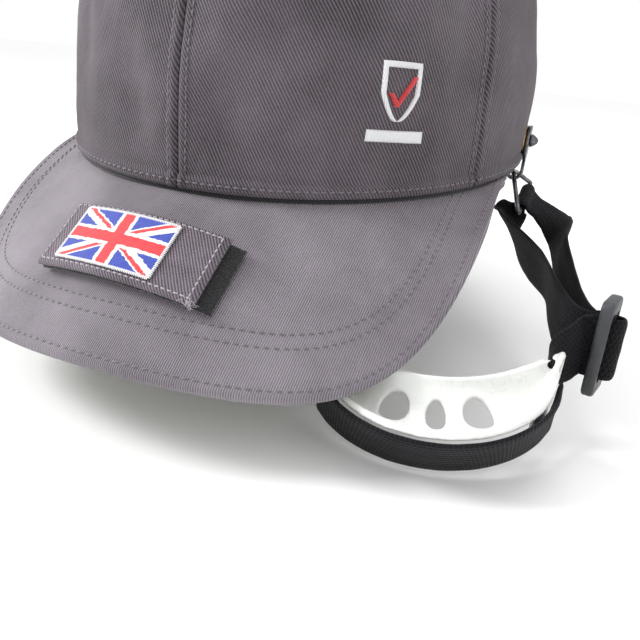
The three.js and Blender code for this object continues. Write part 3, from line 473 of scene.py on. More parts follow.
def catmull(points, steps):
    """A centripetal Catmull-Rom curve through the points, steps samples for each span."""
    points = np.asarray(points, float)
    ends = [2 * points[0] - points[1], *points, 2 * points[-1] - points[-2]]
    result = []
    for i in range(1, len(ends) - 2):
        p0, p1, p2, p3 = (np.asarray(ends[i + k]) for k in (-1, 0, 1, 2))
        t1 = max(np.linalg.norm(p1 - p0), 1e-6) ** 0.5
        t2 = t1 + max(np.linalg.norm(p2 - p1), 1e-6) ** 0.5
        t3 = t2 + max(np.linalg.norm(p3 - p2), 1e-6) ** 0.5
        for step in range(steps + (i == len(ends) - 3)):
            t = t1 + (t2 - t1) * step / steps
            a1 = (t1 - t) / t1 * p0 + t / t1 * p1
            a2 = (t2 - t) / (t2 - t1) * p1 + (t - t1) / (t2 - t1) * p2
            a3 = (t3 - t) / (t3 - t2) * p2 + (t - t2) / (t3 - t2) * p3
            b1 = (t2 - t) / t2 * a1 + t / t2 * a2
            b2 = (t3 - t) / (t3 - t1) * a2 + (t - t1) / (t3 - t1) * a3
            result.append((t2 - t) / (t2 - t1) * b1 + (t - t1) / (t2 - t1) * b2)
    return np.array(result)


def resample(points, normals, spacing):
    """Evenly spaced points, tangents and normals along a row of points."""
    points = np.asarray(points, float)
    lengths = np.linalg.norm(np.diff(points, axis=0), axis=1)
    travelled = np.concatenate([[0], np.cumsum(lengths)])
    places = np.arange(spacing / 2, travelled[-1], spacing)
    spots = np.stack([np.interp(places, travelled, points[:, k]) for k in range(3)], 1)
    ahead = np.stack([np.interp(places + 0.2, travelled, points[:, k]) for k in range(3)], 1)
    behind = np.stack([np.interp(places - 0.2, travelled, points[:, k]) for k in range(3)], 1)
    facing = np.stack([np.interp(places, travelled, np.asarray(normals)[:, k]) for k in range(3)], 1)
    return spots, unit(ahead - behind), unit(facing)


def one_stitch():
    """The points and faces of a small plump capsule, with a half-length and a radius of 1."""
    around, along = 6, 7
    shape = []
    for i in range(along):
        t = -1 + 2 * i / (along - 1)
        width = max(0.12, (1 - abs(t) ** 3.2) ** 0.5)
        for k in range(around):
            turn = TAU * k / around
            shape.append((t, width * math.cos(turn), width * math.sin(turn)))
    base_faces = []
    for i in range(along - 1):
        for k in range(around):
            m = (k + 1) % around
            base_faces.append((i * around + k, i * around + m, (i + 1) * around + m, (i + 1) * around + k))
    base_faces.append(tuple(range(around))[::-1])
    base_faces.append(tuple((along - 1) * around + k for k in range(around)))
    return np.array(shape), base_faces


def stitches(name, rows, material, body, spacing, radius, fill=0.78, lift=0.05):
    """Rows of sewn stitches: each row is (points, normals)."""
    shape, base_faces = one_stitch()
    points, faces = [], []
    count = 0
    rng = np.random.default_rng(7)
    for row_points, row_normals in rows:
        spots, tangents, normals = resample(row_points, row_normals, spacing)
        sides = unit(np.cross(normals, tangents))
        for spot, tangent, normal, side in zip(spots, tangents, normals, sides):
            half = spacing * fill / 2 * rng.uniform(0.92, 1.05)
            lean = side * rng.normal(0, 0.05)
            dip = -np.abs(shape[:, :1]) ** 2 * radius * 0.9
            stitch = spot + normal * lift + shape[:, :1] * half * (tangent + lean)
            stitch = stitch + shape[:, 1:2] * side * radius + (shape[:, 2:3] * radius + dip) * normal
            points.append(stitch)
            faces += [tuple(count + index for index in face) for face in base_faces]
            count += len(shape)
    obj = make_mesh(name, np.concatenate(points), faces)
    return finish_piece(obj, material, body)


def to_normals(points, toward):
    """Rows of points with one direction or one direction a point."""
    return np.broadcast_to(np.asarray(toward, float), np.shape(points))


# ---------------------------------------------------------------- crown surface

DEG = math.pi / 180
HALF_LENGTH = 107.4
HALF_WIDTH = 89.0
CROWN_HEIGHT = 135.0
CLOTH = 1.2
MEAN_RADIUS = 98
CLOTH_RISE = 142
SEAMS = (-180.0, -122.0, -62.5, 0.0, 62.5, 122.0, 180.0)
ARCH_HALF = 33.0
ARCH_RISE = 38.0
HEM_ROLL = 3.7
BILL_END = 82.5


def plan_point(phi, inset=0.0, scale=1.0):
    s, c = np.sin(phi), np.cos(phi)
    reach = (np.abs(s) ** 2.08 + np.abs(c) ** 2.08) ** (-1 / 2.08)
    return (HALF_WIDTH - inset) * reach * s * scale, -(HALF_LENGTH - inset) * reach * c * scale


def hem_height(phi):
    u = 1 - np.cos(phi)
    return -7.2 + 9.4 * u - 2.1 * u * u


def dome_scale(q):
    return np.maximum(1 - np.clip(q, 0, 1) ** 2.5, 0) ** (1 / 2.2)


def crown_point(phi, q, inset=0.0):
    phi, q = np.broadcast_arrays(np.asarray(phi, float), np.asarray(q, float))
    x, y = plan_point(phi, inset, dome_scale(q))
    z = hem_height(phi) * (1 - q) + (CROWN_HEIGHT - inset) * q
    return np.stack([x, y, z], -1)


def crown_normal(phi, q):
    step = 1e-3
    q = np.clip(q, 0.0, 0.998)
    along = crown_point(phi + step, q) - crown_point(phi - step, q)
    rise = crown_point(phi, q + step) - crown_point(phi, q - step * (q > step))
    return unit(np.cross(along, rise))


def hem_share(phi, height, inset=0.0):
    low = hem_height(phi)
    return (height - low) / (CROWN_HEIGHT - inset - low)


def share_above_hem(phi, rise):
    """The share q that lies this many millimetres above the hem."""
    return hem_share(phi, hem_height(phi) + rise)


def arch_share(phi):
    x, _ = plan_point(phi)
    rise = ARCH_RISE * np.sqrt(np.clip(1 - (x / ARCH_HALF) ** 2, 0, 1))
    inside = (np.cos(phi) < 0) & (np.abs(x) < ARCH_HALF)
    return np.where(inside, share_above_hem(phi, rise), 0.0)


def seam_distance(phi, q):
    reach = MEAN_RADIUS * np.maximum(dome_scale(q), 0.06)
    gaps = [np.abs(phi - seam * DEG) * reach for seam in SEAMS]
    return np.min(gaps, axis=0)


# Soft dents and swells of the worn cloth: angle, height, width, rise, tilt in degrees, depth.
DENTS = (
    (10, 17, 9, 13, 20, -3.4),
    (14, 58, 8, 34, -38, 2.2),
    (31, 72, 7, 34, -38, -2.8),
    (44, 52, 8, 26, -30, 1.6),
    (57, 66, 5, 30, -8, -2.0),
    (34, 14, 16, 7, 8, -0.8),
    (-12, 26, 9, 20, 12, -2.8),
    (-17, 62, 10, 30, 24, 1.8),
    (-34, 44, 9, 24, 18, -2.0),
    (-52, 62, 8, 26, -12, 1.0),
    (80, 50, 12, 22, -24, -1.2),
    (100, 30, 14, 14, 18, 0.9),
    (-84, 48, 12, 24, 20, -1.2),
    (-104, 30, 12, 16, -14, 1.0),
    (140, 70, 12, 20, 20, -1.2),
    (-140, 66, 12, 22, -16, -1.2),
    (165, 84, 10, 16, 6, 0.8),
)


def soft_relief(phi, q):
    """The slow dents and swells that every layer of the cap shares, in millimetres."""
    low = arch_share(phi)
    up = np.maximum(q - low, 0) * CLOTH_RISE
    across = phi * MEAN_RADIUS
    height = q * CLOTH_RISE
    relief = 0.75 * smooth_noise(across / 95, height / 80, 11, 2)
    relief += 0.16 * smooth_noise(across / 17, height / 21, 12, 2)
    for angle, level, width, rise, tilt, depth in DENTS:
        dx = (phi / DEG - angle) * MEAN_RADIUS * DEG
        dz = height - level
        c, s = math.cos(tilt * DEG), math.sin(tilt * DEG)
        bump = np.exp(-((dx * c + dz * s) / width) ** 2 - ((dz * c - dx * s) / rise) ** 2)
        relief += depth * bump
    return relief * np.clip(up / 14, 0, 1) * np.clip((1 - q) / 0.12, 0, 1)


def crown_relief(phi, q):
    """How far the cloth stands out of the plain dome, in millimetres."""
    relief = soft_relief(phi, q)
    up = np.maximum(q - arch_share(phi), 0) * CLOTH_RISE
    height = q * CLOTH_RISE
    edge = seam_distance(phi, q)
    fade = np.clip((0.985 - q) / 0.05, 0, 1)
    pucker = 1 + 0.35 * np.sin(height / 2.9) + 0.2 * np.sin(height / 1.7)
    relief += (0.42 * bell(edge - 2.0, 1.5) - 0.85 * bell(edge, 0.75)) * fade
    relief -= 0.16 * pucker * bell(edge - 3.9, 0.8) * fade
    roll = 0.8 * (1 - np.clip((up - HEM_ROLL + 0.3) / 0.9, 0, 1) ** 2)
    relief += roll - 0.35 * bell(up - HEM_ROLL - 0.9, 0.6) - 0.8 * bell(up, 0.55)
    return relief - 0.22 * bell(up - 2.0, 0.45)


def cloth_point(phi, q, lift=0.0):
    normal = crown_normal(phi, q)
    return crown_point(phi, q) + normal * (crown_relief(phi, q) + lift)[..., None], normal


def crown_panel(name, start, end):
    """One cloth panel between two seams, with more columns beside the seams."""
    columns, rows = 112, 130
    t = np.linspace(0, 1, columns)
    ease = t - 0.75 * np.sin(TAU * t) / TAU
    turn = np.sin(np.linspace(0, 1, rows) ** 1.35 * 88.2 * DEG)
    edge = 0.15 / (HALF_WIDTH * np.maximum(dome_scale(turn), 0.05))
    phi = start * DEG + edge + (end - start) * DEG * ease[:, None] - 2 * edge * ease[:, None]
    low = arch_share(phi)
    q = low + (1 - low) * turn
    outer, normal = cloth_point(phi, q)
    inner = outer - normal * CLOTH
    middle = (start + end) / 2 * DEG
    travel = np.linalg.norm(np.diff(outer, axis=1), axis=2)
    rise = np.concatenate([np.zeros((columns, 1)), np.cumsum(travel, axis=1)], 1) + low * CLOTH_RISE
    uvs = np.stack([(phi - middle) * MEAN_RADIUS * np.maximum(dome_scale(q), 0.1), rise], -1)
    obj = slab(name, outer, inner, uvs)
    return finish_piece(obj, CROWN, "cap", [name])


def seam_rows(seam, offset):
    q = np.linspace(0.0, 0.93, 150)
    turn = seam * DEG + offset / (MEAN_RADIUS * np.maximum(dome_scale(q), 0.06))
    low = arch_share(turn) if abs(seam) == 180 else 0.0
    q = low + (1 - low) * q + 0.035 * (1 - q)
    return cloth_point(turn, q, 0.1)


def build_crown():
    panels = {
        "crown_front_left": (0, 62.5), "crown_front_right": (-62.5, 0),
        "crown_side_left": (62.5, 122), "crown_side_right": (-122, -62.5),
        "crown_back_left": (122, 180), "crown_back_right": (-180, -122),
    }
    for name, (start, end) in panels.items():
        crown_panel(name, start, end)
    rows = []
    for seam in SEAMS[1:]:
        for offset in (-3.3, 3.3):
            side = -180 if seam == 180 and offset >= 0 else seam
            rows.append(seam_rows(side, offset))
    stitches("crown_seam_stitches", rows, THREAD, "cap", 2.5, 0.26)
    phi = np.linspace(-157, 157, 900) * DEG
    hem_row = cloth_point(phi, share_above_hem(phi, 2.3), 0.12)
    stitches("hem_stitches", [hem_row], THREAD, "cap", 2.6, 0.27)
    build_seam_tapes()


def build_seam_tapes():
    """Tape behind each seam, so no light shows between two panels."""
    for number, seam in enumerate(SEAMS[1:]):
        q = np.linspace(0.01, 0.975, 90)
        if seam == 180:
            low = float(arch_share(np.array(math.pi)))
            q = low + (1 - low) * q
        offsets = np.linspace(-4, 4, 5)
        turn = seam * DEG + offsets[:, None] / (MEAN_RADIUS * np.maximum(dome_scale(q), 0.08))
        outer, normal = cloth_point(turn, np.broadcast_to(q, turn.shape), -CLOTH - 0.05)
        arched = outer + normal * -0.15
        uvs = np.stack(np.broadcast_arrays(offsets[:, None], q * CLOTH_RISE), -1)
        obj = slab(f"seam_tape_{number}", arched, arched - normal * 0.45, uvs)
        finish_piece(obj, LINING, "cap")


def build_button():
    outline = [
        (0.01, 0), (7.6, 0), (8.0, 0.3), (8.05, 1.1), (7.7, 1.9),
        (6.6, 2.9), (4.8, 3.75), (2.5, 4.2), (0.01, 4.3),
    ]
    button = spin("top_button", outline, (0, 0, CROWN_HEIGHT + 0.3), (0, 0, 1), 64)
    layer = button.data.uv_layers.new(name="cloth")
    for loop in button.data.loops:
        place = button.data.vertices[loop.vertex_index].co
        layer.data[loop.index].uv = (place.x * 1000, place.y * 1000)
    subdivide(button)
    finish_piece(button, CROWN, "cap", ["top_button"])


EYELET_SHARE = 0.7
EYELETS = {
    "eyelet_side_left": 92, "eyelet_side_right": -92, "eyelet_back_left": 151, "eyelet_back_right": -151,
}


def build_eyelets():
    """A vent hole's ring of close radial stitches round a dark disc, painted shade that stands for the hole.
    """
    for name, angle in EYELETS.items():
        phi, q = np.array(angle * DEG), np.array(EYELET_SHARE)
        centre, normal = cloth_point(phi, q)
        side = unit(np.cross((0, 0, 1), normal))
        up = np.cross(normal, side)
        rings = []
        count = 168
        for k in range(count):
            turn = TAU * k / count
            out = side * math.cos(turn) + up * math.sin(turn)
            plump = 0.75 + 0.25 * abs(math.sin(turn * 21))
            ring = []
            for j in range(12):
                a = TAU * j / 12
                radius = 3.2 + 1.35 * math.cos(a) * (0.9 + 0.1 * plump)
                ring.append(centre + out * radius + normal * (0.25 + 0.75 * plump * math.sin(a)))
            rings.append(ring)
        obj = sweep(name, rings, True)
        finish_piece(obj, THREAD, "cap", [name])
        # Painted shade: the cloth is not cut, and this dark disc stands for the shadowed inside seen through
        # the hole.
        disc = [(0.02, 0.34), (2.2, 0.34), (2.2, 0.1), (0.02, 0.1)]
        hole = spin(name + "_hole_shade", disc, centre, normal, 32)
        finish_piece(hole, DARK_THREAD_AND_HOLE_SHADE, "cap")


# ---------------------------------------------------------------- bill surface

BILL_HALF = 102.3
BILL_THICK = 4.4
BILL_REACH = 48.2
COVER = 0.9
STITCH_ROWS = (3.0, 13.94, 17.92)
bill_end = plan_point(np.array(BILL_END * DEG))
BILL_LENGTH = HALF_LENGTH + BILL_REACH + float(bill_end[1])


def bill_edge(s):
    t = s * math.pi / 2
    blend = np.abs(np.sin(t))
    half = BILL_HALF + (float(bill_end[0]) - BILL_HALF) * blend ** 8
    x = half * np.sin(t)
    y = float(bill_end[1]) - BILL_LENGTH * np.maximum(np.cos(t), 0) ** 0.72
    u = (x / BILL_HALF) ** 2
    opened = -46.1 - 21.2 * u + 6.6 * u * u
    shut = float(hem_height(np.array(BILL_END * DEG))) - 1.6
    return np.stack([x, y, opened + (shut - opened) * blend ** 6], -1)


def bill_root(s):
    phi = s * BILL_END * DEG
    x, y = plan_point(phi, 2.0)
    return np.stack([x, y, hem_height(phi) - 0.8], -1)


def bill_top(s, v):
    s, v = np.broadcast_arrays(np.asarray(s, float), np.asarray(v, float))
    root, edge = bill_root(s), bill_edge(s)
    point = root + (edge - root) * v[..., None]
    point[..., 2] += 2.2 * 4 * v * (1 - v) * np.maximum(np.cos(s * math.pi / 2), 0) ** 0.5
    return point


def bill_normal(s, v):
    step = 1e-3
    s = np.clip(s, -0.998, 0.998)
    along = bill_top(s + step, v) - bill_top(s - step, v)
    out = bill_top(s, v + step) - bill_top(s, v - step)
    normal = unit(np.cross(out, along))
    return normal * np.sign(normal[..., 2:3] + 1e-9)


def bill_relief(point):
    x, y = point[..., 0], point[..., 1]
    relief = 0.42 * smooth_noise(x / 70, y / 55, 31, 2)
    return relief + 0.05 * smooth_noise(x / 9, y / 14, 32, 2)


def bill_share(s, distance):
    """The share v that lies this far in from the bill's edge, measured square to the edge."""
    step = 1e-3
    tangent = unit(bill_edge(s + step) - bill_edge(s - step))
    spoke = bill_edge(s) - bill_root(s)
    length = np.linalg.norm(spoke, axis=-1)
    slant = np.linalg.norm(np.cross(tangent, spoke / length[..., None]), axis=-1)
    return 1 - distance / (length * np.maximum(slant, 0.2))


def bill_taper(s):
    """The bill thins towards its two ends, as a share of its full thickness."""
    return np.clip(np.linalg.norm(bill_edge(s) - bill_root(s), axis=-1) / 14, 0.3, 1)


def bill_profile(s, v_rows, angles, depth):
    """The bill's section at each s: along its top, then round its rim by the angles given."""
    spoke = bill_edge(s) - bill_root(s)
    length = np.linalg.norm(spoke, axis=-1)
    taper = bill_taper(s)
    radius = np.minimum(taper * BILL_THICK / 2, 0.3 * length)
    last = 1 - radius / length
    v = v_rows[None, :] * last[:, None]
    grid = np.broadcast_to(s[:, None], v.shape)
    normal = bill_normal(grid, v)
    point = bill_top(grid, v)
    point = point + normal * (bill_relief(point) - depth * taper[:, None])[..., None]
    n = normal[:, -1]
    out = unit(spoke)
    out = unit(out - n * np.sum(out * n, -1, keepdims=True))
    centre = point[:, -1] + n * (depth * taper - radius)[:, None]
    reach = radius - min(depth, BILL_THICK - depth) * taper
    arc = [centre + (n * math.sin(a) + out * math.cos(a)) * reach[:, None] for a in angles]
    return np.concatenate([point, np.stack(arc, 1)], 1)


def build_board(rows):
    """The stiff board between the two covers."""
    s = 0.95 * np.sin((np.linspace(0, 1, 200) - 0.5) * math.pi)
    length = np.linalg.norm(bill_edge(s) - bill_root(s), axis=-1)
    v = rows[None, :] * np.maximum(1 - 3 / length, 0.15)[:, None]
    grid = np.broadcast_to(s[:, None], v.shape)
    point, normal = bill_top(grid, v), bill_normal(grid, v)
    relief, taper = bill_relief(point), bill_taper(grid)
    depths = (1.1 * COVER, BILL_THICK - 1.1 * COVER)
    upper, lower = (point + normal * (relief - depth * taper)[..., None] for depth in depths)
    board = slab("bill_board", lower, upper)
    tidy_normals(board)
    finish_piece(board, BOARD, "cap", ["bill_board"])


def build_bill():
    s = 0.985 * np.sin((np.linspace(0, 1, 260) - 0.5) * math.pi)
    rows = np.linspace(0, 1, 64) ** 0.9
    top_angles = np.linspace(84, -8, 9) * DEG
    outer = bill_profile(s, rows, top_angles, 0.0)
    inner = bill_profile(s, rows, top_angles, COVER)
    steps = np.linalg.norm(np.diff(outer, axis=1), axis=2)
    travel = np.concatenate([np.zeros((len(s), 1)), np.cumsum(steps, 1)], 1)
    top = slab("bill_top_cover", inner, outer, np.stack([outer[..., 0], travel], -1))
    finish_piece(top, BILL, "cap", ["bill_top_cover"])
    low_angles = np.linspace(-84, -14, 7) * DEG
    under_outer = bill_profile(s, rows, low_angles, BILL_THICK)
    under_inner = bill_profile(s, rows, low_angles, BILL_THICK - COVER)
    uvs = np.stack([under_outer[..., 0], travel[:, : under_outer.shape[1]]], -1)
    under = slab("bill_under_cover", under_outer, under_inner, uvs)
    finish_piece(under, UNDERBILL, "cap", ["bill_under_cover"])
    build_board(rows)
    rows_of_stitches = []
    under_rows = []
    for distance in STITCH_ROWS:
        turn = np.linspace(-0.97, 0.97, 900)
        v = bill_share(turn, distance)
        keep = v > 0.04
        grid, v = turn[keep], v[keep]
        normal = bill_normal(grid, v)
        point = bill_top(grid, v)
        rows_of_stitches.append((point + normal * (bill_relief(point) + 0.08)[..., None], normal))
        depth = BILL_THICK * bill_taper(grid) + 0.08
        under_rows.append((point + normal * (bill_relief(point) - depth)[..., None], -normal))
    stitches("bill_stitches", rows_of_stitches, THREAD, "cap", 2.7, 0.27)
    stitches("bill_under_stitches", under_rows, PALE_THREAD, "cap", 2.7, 0.24)


# ---------------------------------------------------------------- patch on the bill

PATCH_REACH = 22
PATCH_TURN = -2 * DEG
PATCH_SIZE = (53, 23.5)
FLAG_SIZE = (32.3, 18.3)
FLAG_SHIFT = -3.5


def patch_frame():
    origin = bill_top(np.array(0.0), np.array(PATCH_REACH / BILL_REACH))
    slope = unit(bill_top(np.array(0.0), np.array(0.9)) - bill_top(np.array(0.0), np.array(0.2)))
    normal = unit(np.cross((1, 0, 0), slope))
    normal = normal * np.sign(normal[2])
    up = np.cross(normal, (1, 0, 0))
    c, s = math.cos(PATCH_TURN), math.sin(PATCH_TURN)
    right = np.array((1.0, 0, 0))
    return origin, right * c + up * s, up * c - right * s, normal


PATCH_ORIGIN, PATCH_RIGHT, PATCH_UP, PATCH_OUT = patch_frame()


def on_patch(x, y, height):
    """A point of the patch's own bent frame."""
    x, y, height = np.broadcast_arrays(*(np.asarray(k, float) for k in (x, y, height)))
    lift = (height - 0.0042 * x * x)[..., None]
    return PATCH_ORIGIN + x[..., None] * PATCH_RIGHT + y[..., None] * PATCH_UP + lift * PATCH_OUT


def patch_sheet(name, size, low, thick, material, body, offset=0.0, soft=0.5, noise=0.06):
    """A bent sheet with rounded edges, its UVs in millimetres from its middle."""
    columns, rows = 160, 90
    length, width = size
    x = np.linspace(-1, 1, columns)[:, None] * length / 2
    y = np.linspace(-1, 1, rows)[None, :] * width / 2
    x, y = np.broadcast_arrays(x, y)
    wander = 0.22 * smooth_noise(x / 9, y / 9, 41, 2)
    inside = np.minimum(length / 2 - np.abs(x), width / 2 - np.abs(y))
    round_off = soft * (1 - np.clip(inside / soft, 0, 1)) ** 2
    height = low + thick - round_off * thick * 0.7 + noise * smooth_noise(x / 5, y / 5, 42, 3)
    edge = 1 - np.clip(inside / 2, 0, 1)
    top = on_patch(x + offset + wander * edge * np.sign(x), y + wander * edge * np.sign(y), height)
    bottom = on_patch(x + offset, y, np.full_like(height, low))
    obj = slab(name, top, bottom, np.stack([x, y], -1))
    return finish_piece(obj, material, body, [name])


def build_patch():
    patch_sheet("patch_loop_tape", (57, 22.5), 1.2, 0.9, TAPE, "cap", 2.0, 0.5, 0.12)
    patch_sheet("patch_hook_tape", (52, 22.5), 2.4, 0.9, TAPE, "flag_patch", 0.0, 0.4, 0.1)
    patch_sheet("patch_cloth", PATCH_SIZE, 3.6, 1.6, PATCH, "flag_patch", 0.0, 1.1, 0.09)
    patch_sheet(
        "patch_flag", FLAG_SIZE, 5.5, 0.5, flag_cloth(15.4, 8.5), "flag_patch", FLAG_SHIFT, 0.7, 0.05,
    )
    border = []
    inset = 1.5
    hx, hy = PATCH_SIZE[0] / 2 - inset, PATCH_SIZE[1] / 2 - inset
    corners = [(-hx, -hy), (hx, -hy), (hx, hy), (-hx, hy), (-hx, -hy)]
    for (x0, y0), (x1, y1) in zip(corners, corners[1:]):
        t = np.linspace(0, 1, 60)
        points = on_patch(x0 + (x1 - x0) * t, y0 + (y1 - y0) * t, 5.25)
        border.append((points, to_normals(points, PATCH_OUT)))
    stitches("patch_border_stitches", border, PALE_THREAD, "flag_patch", 1.9, 0.24, 0.8)
    build_flag_edge()
    build_tuft()


def build_flag_edge():
    """Short stitches laid across the flag's edge."""
    whip = []
    hx, hy = FLAG_SIZE[0] / 2, FLAG_SIZE[1] / 2
    for x0, y0, x1, y1 in ((-hx, -hy, hx, -hy), (hx, -hy, hx, hy), (hx, hy, -hx, hy), (-hx, hy, -hx, -hy)):
        count = int(math.hypot(x1 - x0, y1 - y0) / 0.55)
        out = unit(np.array((y1 - y0, x0 - x1)))
        for k in range(count):
            t = (k + 0.5) / count
            x, y = x0 + (x1 - x0) * t, y0 + (y1 - y0) * t
            spread = np.linspace(-0.65, 0.65, 4)
            height = 6.0 - 0.28 * np.abs(spread)
            points = on_patch(FLAG_SHIFT + x + out[0] * spread, y + out[1] * spread, height)
            whip.append((points, to_normals(points, PATCH_OUT)))
    stitches("flag_edge_stitches", whip, WHITE_THREAD, "flag_patch", 1.25, 0.24, 1.0, 0.0)


def build_tuft():
    """Loose ends of thread at the patch's lower right corner."""
    rng = np.random.default_rng(5)
    points, faces = [], []
    for strand in range(26):
        x0, y0 = 26.0 + rng.uniform(-2.4, 0.4), -11.6 + rng.uniform(-0.3, 1.3)
        away = rng.uniform(-1.9, -0.2)
        reach = rng.uniform(1.2, 3.4)
        path = []
        for k in range(7):
            t = k / 6
            curl = 0.35 * math.sin(5 * t + strand)
            x = x0 + reach * t * math.cos(away) + curl * t
            y = y0 + reach * t * math.sin(away) * 0.6 + curl * 0.4
            path.append(on_patch(x, y, 4.6 + 0.9 * math.sin(2.4 * t + strand)))
        start = len(points)
        tangent = unit(path[-1] - path[0])
        side = unit(np.cross(tangent, PATCH_OUT))
        other = np.cross(side, tangent)
        for k, place in enumerate(path):
            radius = 0.13 * (1 - 0.5 * k / 6)
            for j in range(5):
                a = TAU * j / 5
                points.append(place + (side * math.cos(a) + other * math.sin(a)) * radius)
        for k in range(6):
            for j in range(5):
                m = (j + 1) % 5
                a, b = start + k * 5, start + (k + 1) * 5
                faces.append((a + j, a + m, b + m, b + j))
        faces.append(tuple(start + j for j in range(5))[::-1])
        faces.append(tuple(start + 30 + j for j in range(5)))
    tuft = make_mesh("patch_loose_threads", points, faces)
    finish_piece(tuft, PALE_THREAD, "flag_patch")


# ---------------------------------------------------------------- badge on the front

BADGE_TURN = 41 * DEG
BADGE_HEIGHT = 21


def badge_point(across, up, height):
    phi = BADGE_TURN + np.asarray(across, float) / HALF_LENGTH
    q = hem_share(phi, BADGE_HEIGHT + np.asarray(up, float))
    points, normals = cloth_point(phi, q)
    return points + normals * np.asarray(height, float)[..., None]


def embroidery(name, left, right, low, high, material, replaces, columns, rows):
    """A plump satin-stitched patch between two side curves left(v) and right(v)."""
    thick = 0.9
    v = np.linspace(0, 1, rows)[None, :]
    u = np.linspace(0, 1, columns)[:, None]
    start, end = left(v), right(v)
    across = start + (end - start) * u
    up = np.broadcast_to(low + (high - low) * v, across.shape)
    plump = (np.clip(4 * u * (1 - u), 0, 1) ** 0.35) * (np.clip(4 * v * (1 - v), 0, 1) ** 0.3)
    ribs = 0.05 * np.sin(up * 14)
    outer = badge_point(across, up, 0.1 + thick * plump + ribs * plump)
    inner = badge_point(across, up, np.full(across.shape, 0.02))
    obj = slab(name, outer, inner, np.stack([across, up], -1))
    return finish_piece(obj, material, "cap", replaces)


def build_badge():
    def shield(v):
        return 7.2 * np.minimum(1, 0.14 + 1.35 * np.asarray(v) ** 0.62)

    def rim(v):
        return shield(v) - 1.7

    def line(start, slope=0.0):
        return lambda v: start + slope * v

    def mirrored(side):
        return lambda v: -side(v)

    parts = (
        ("badge_shield", mirrored(shield), mirrored(rim), -3.5, 12.5, WHITE_SATIN, ["badge_shield"], 12, 60),
        ("badge_shield_right", rim, shield, -3.5, 12.5, WHITE_SATIN, (), 12, 60),
        ("badge_shield_top", line(-7.2), line(7.2), 11.2, 12.9, WHITE_SATIN, (), 60, 12),
        ("badge_tick_long", line(-2.2, 6.4), line(-0.1, 6.4), 0.6, 9.2, RED_SATIN, (), 12, 40),
        ("badge_tick_short", line(-1.4, -3.2), line(0.6, -3.2), 0.6, 4.4, RED_SATIN, (), 12, 24),
        ("badge_bar", line(-10.5), line(10.5), -9.5, -6, WHITE_SATIN, ["badge_bar"], 90, 14),
    )
    for part in parts:
        embroidery(*part)


# ---------------------------------------------------------------- chin strap's own frame

LAY_TILT = 13.37 * DEG
LAY_DROP = 42.35
WEB_THICK = 1.5
CUP_CENTRE = np.array((81.5, -92.5, 0.0))
CUP_TURN = 14.5
CUP_RADIUS = 40.0
CUP_WEB_TURN = 61.5
CUP_END_TURN = 71
SLIDER_SIZE = (14, 31)
SLIDER_CENTRE = np.array((130.3, -78.5, 18.5))
SLOT = 2.9
HOOK_Y = 13.0
HOOK_WALL = 89.4
RIVET_Z = 9.3


def from_strap(points):
    """Turns points of the strap's lying plane into the cap's frame."""
    p = np.asarray(points, float) + (0, 0, -LAY_DROP)
    c, s = math.cos(LAY_TILT), math.sin(LAY_TILT)
    return np.stack([p[..., 0], c * p[..., 1] - s * p[..., 2], s * p[..., 1] + c * p[..., 2]], -1)


SLIDER_LONG = unit((-0.02, 0.25, 0.97))
SLIDER_RUN = np.array((0.97, -0.22, 0.1))
SLIDER_RUN = unit(SLIDER_RUN - SLIDER_LONG * np.dot(SLIDER_RUN, SLIDER_LONG))
SLIDER_DEEP = np.cross(SLIDER_LONG, SLIDER_RUN)
RING_BAR = np.array((93.7, 11.2, 24.7))
RING_BAR_DIR = unit((0.05, 0.98, 0.19))
RING_TOP = np.array((87.4, 11.7, 35.3))
RING_TOP_DIR = np.array((0, 0.973, -0.231))


def in_slider(run, deep):
    return (SLIDER_CENTRE + SLIDER_RUN * run + SLIDER_DEEP * deep, SLIDER_LONG)


def in_cup(theta, radius, z):
    turn = (theta - 90 + CUP_TURN) * DEG
    return CUP_CENTRE + (radius * math.cos(turn), radius * math.sin(turn), z)


def cup_to_strap(points):
    p = np.asarray(points, float)
    c, s = math.cos(CUP_TURN * DEG), math.sin(CUP_TURN * DEG)
    x, y, z = np.moveaxis(p, -1, 0)
    return np.stack([c * x - s * y, s * x + c * y, z], -1) + CUP_CENTRE


def from_cup(points):
    """Turns points of the cup's own frame into the cap's frame."""
    return from_strap(cup_to_strap(points))


def around_cup(radius, theta, z):
    return np.stack(np.broadcast_arrays(
        radius * np.sin(theta * DEG), -radius * np.cos(theta * DEG), np.asarray(z, float)), -1)


def flare_at(theta):
    return 8.3 * np.maximum(np.cos(theta / CUP_WEB_TURN * math.pi / 2), 0) ** 0.8


def ring_turn(side):
    mirror = np.array((side, 1, 1))
    centre, along = RING_BAR * mirror, RING_BAR_DIR * mirror
    out = np.array((side, 0.0, 0.0))
    out = unit(out - along * np.dot(out, along))
    up = np.cross(out, along) * side
    turns = [a * DEG for a in range(180, -1, -15)]
    return [(centre + out * 2.2 * math.cos(a) + up * 2.2 * math.sin(a), along, 15.5) for a in turns]


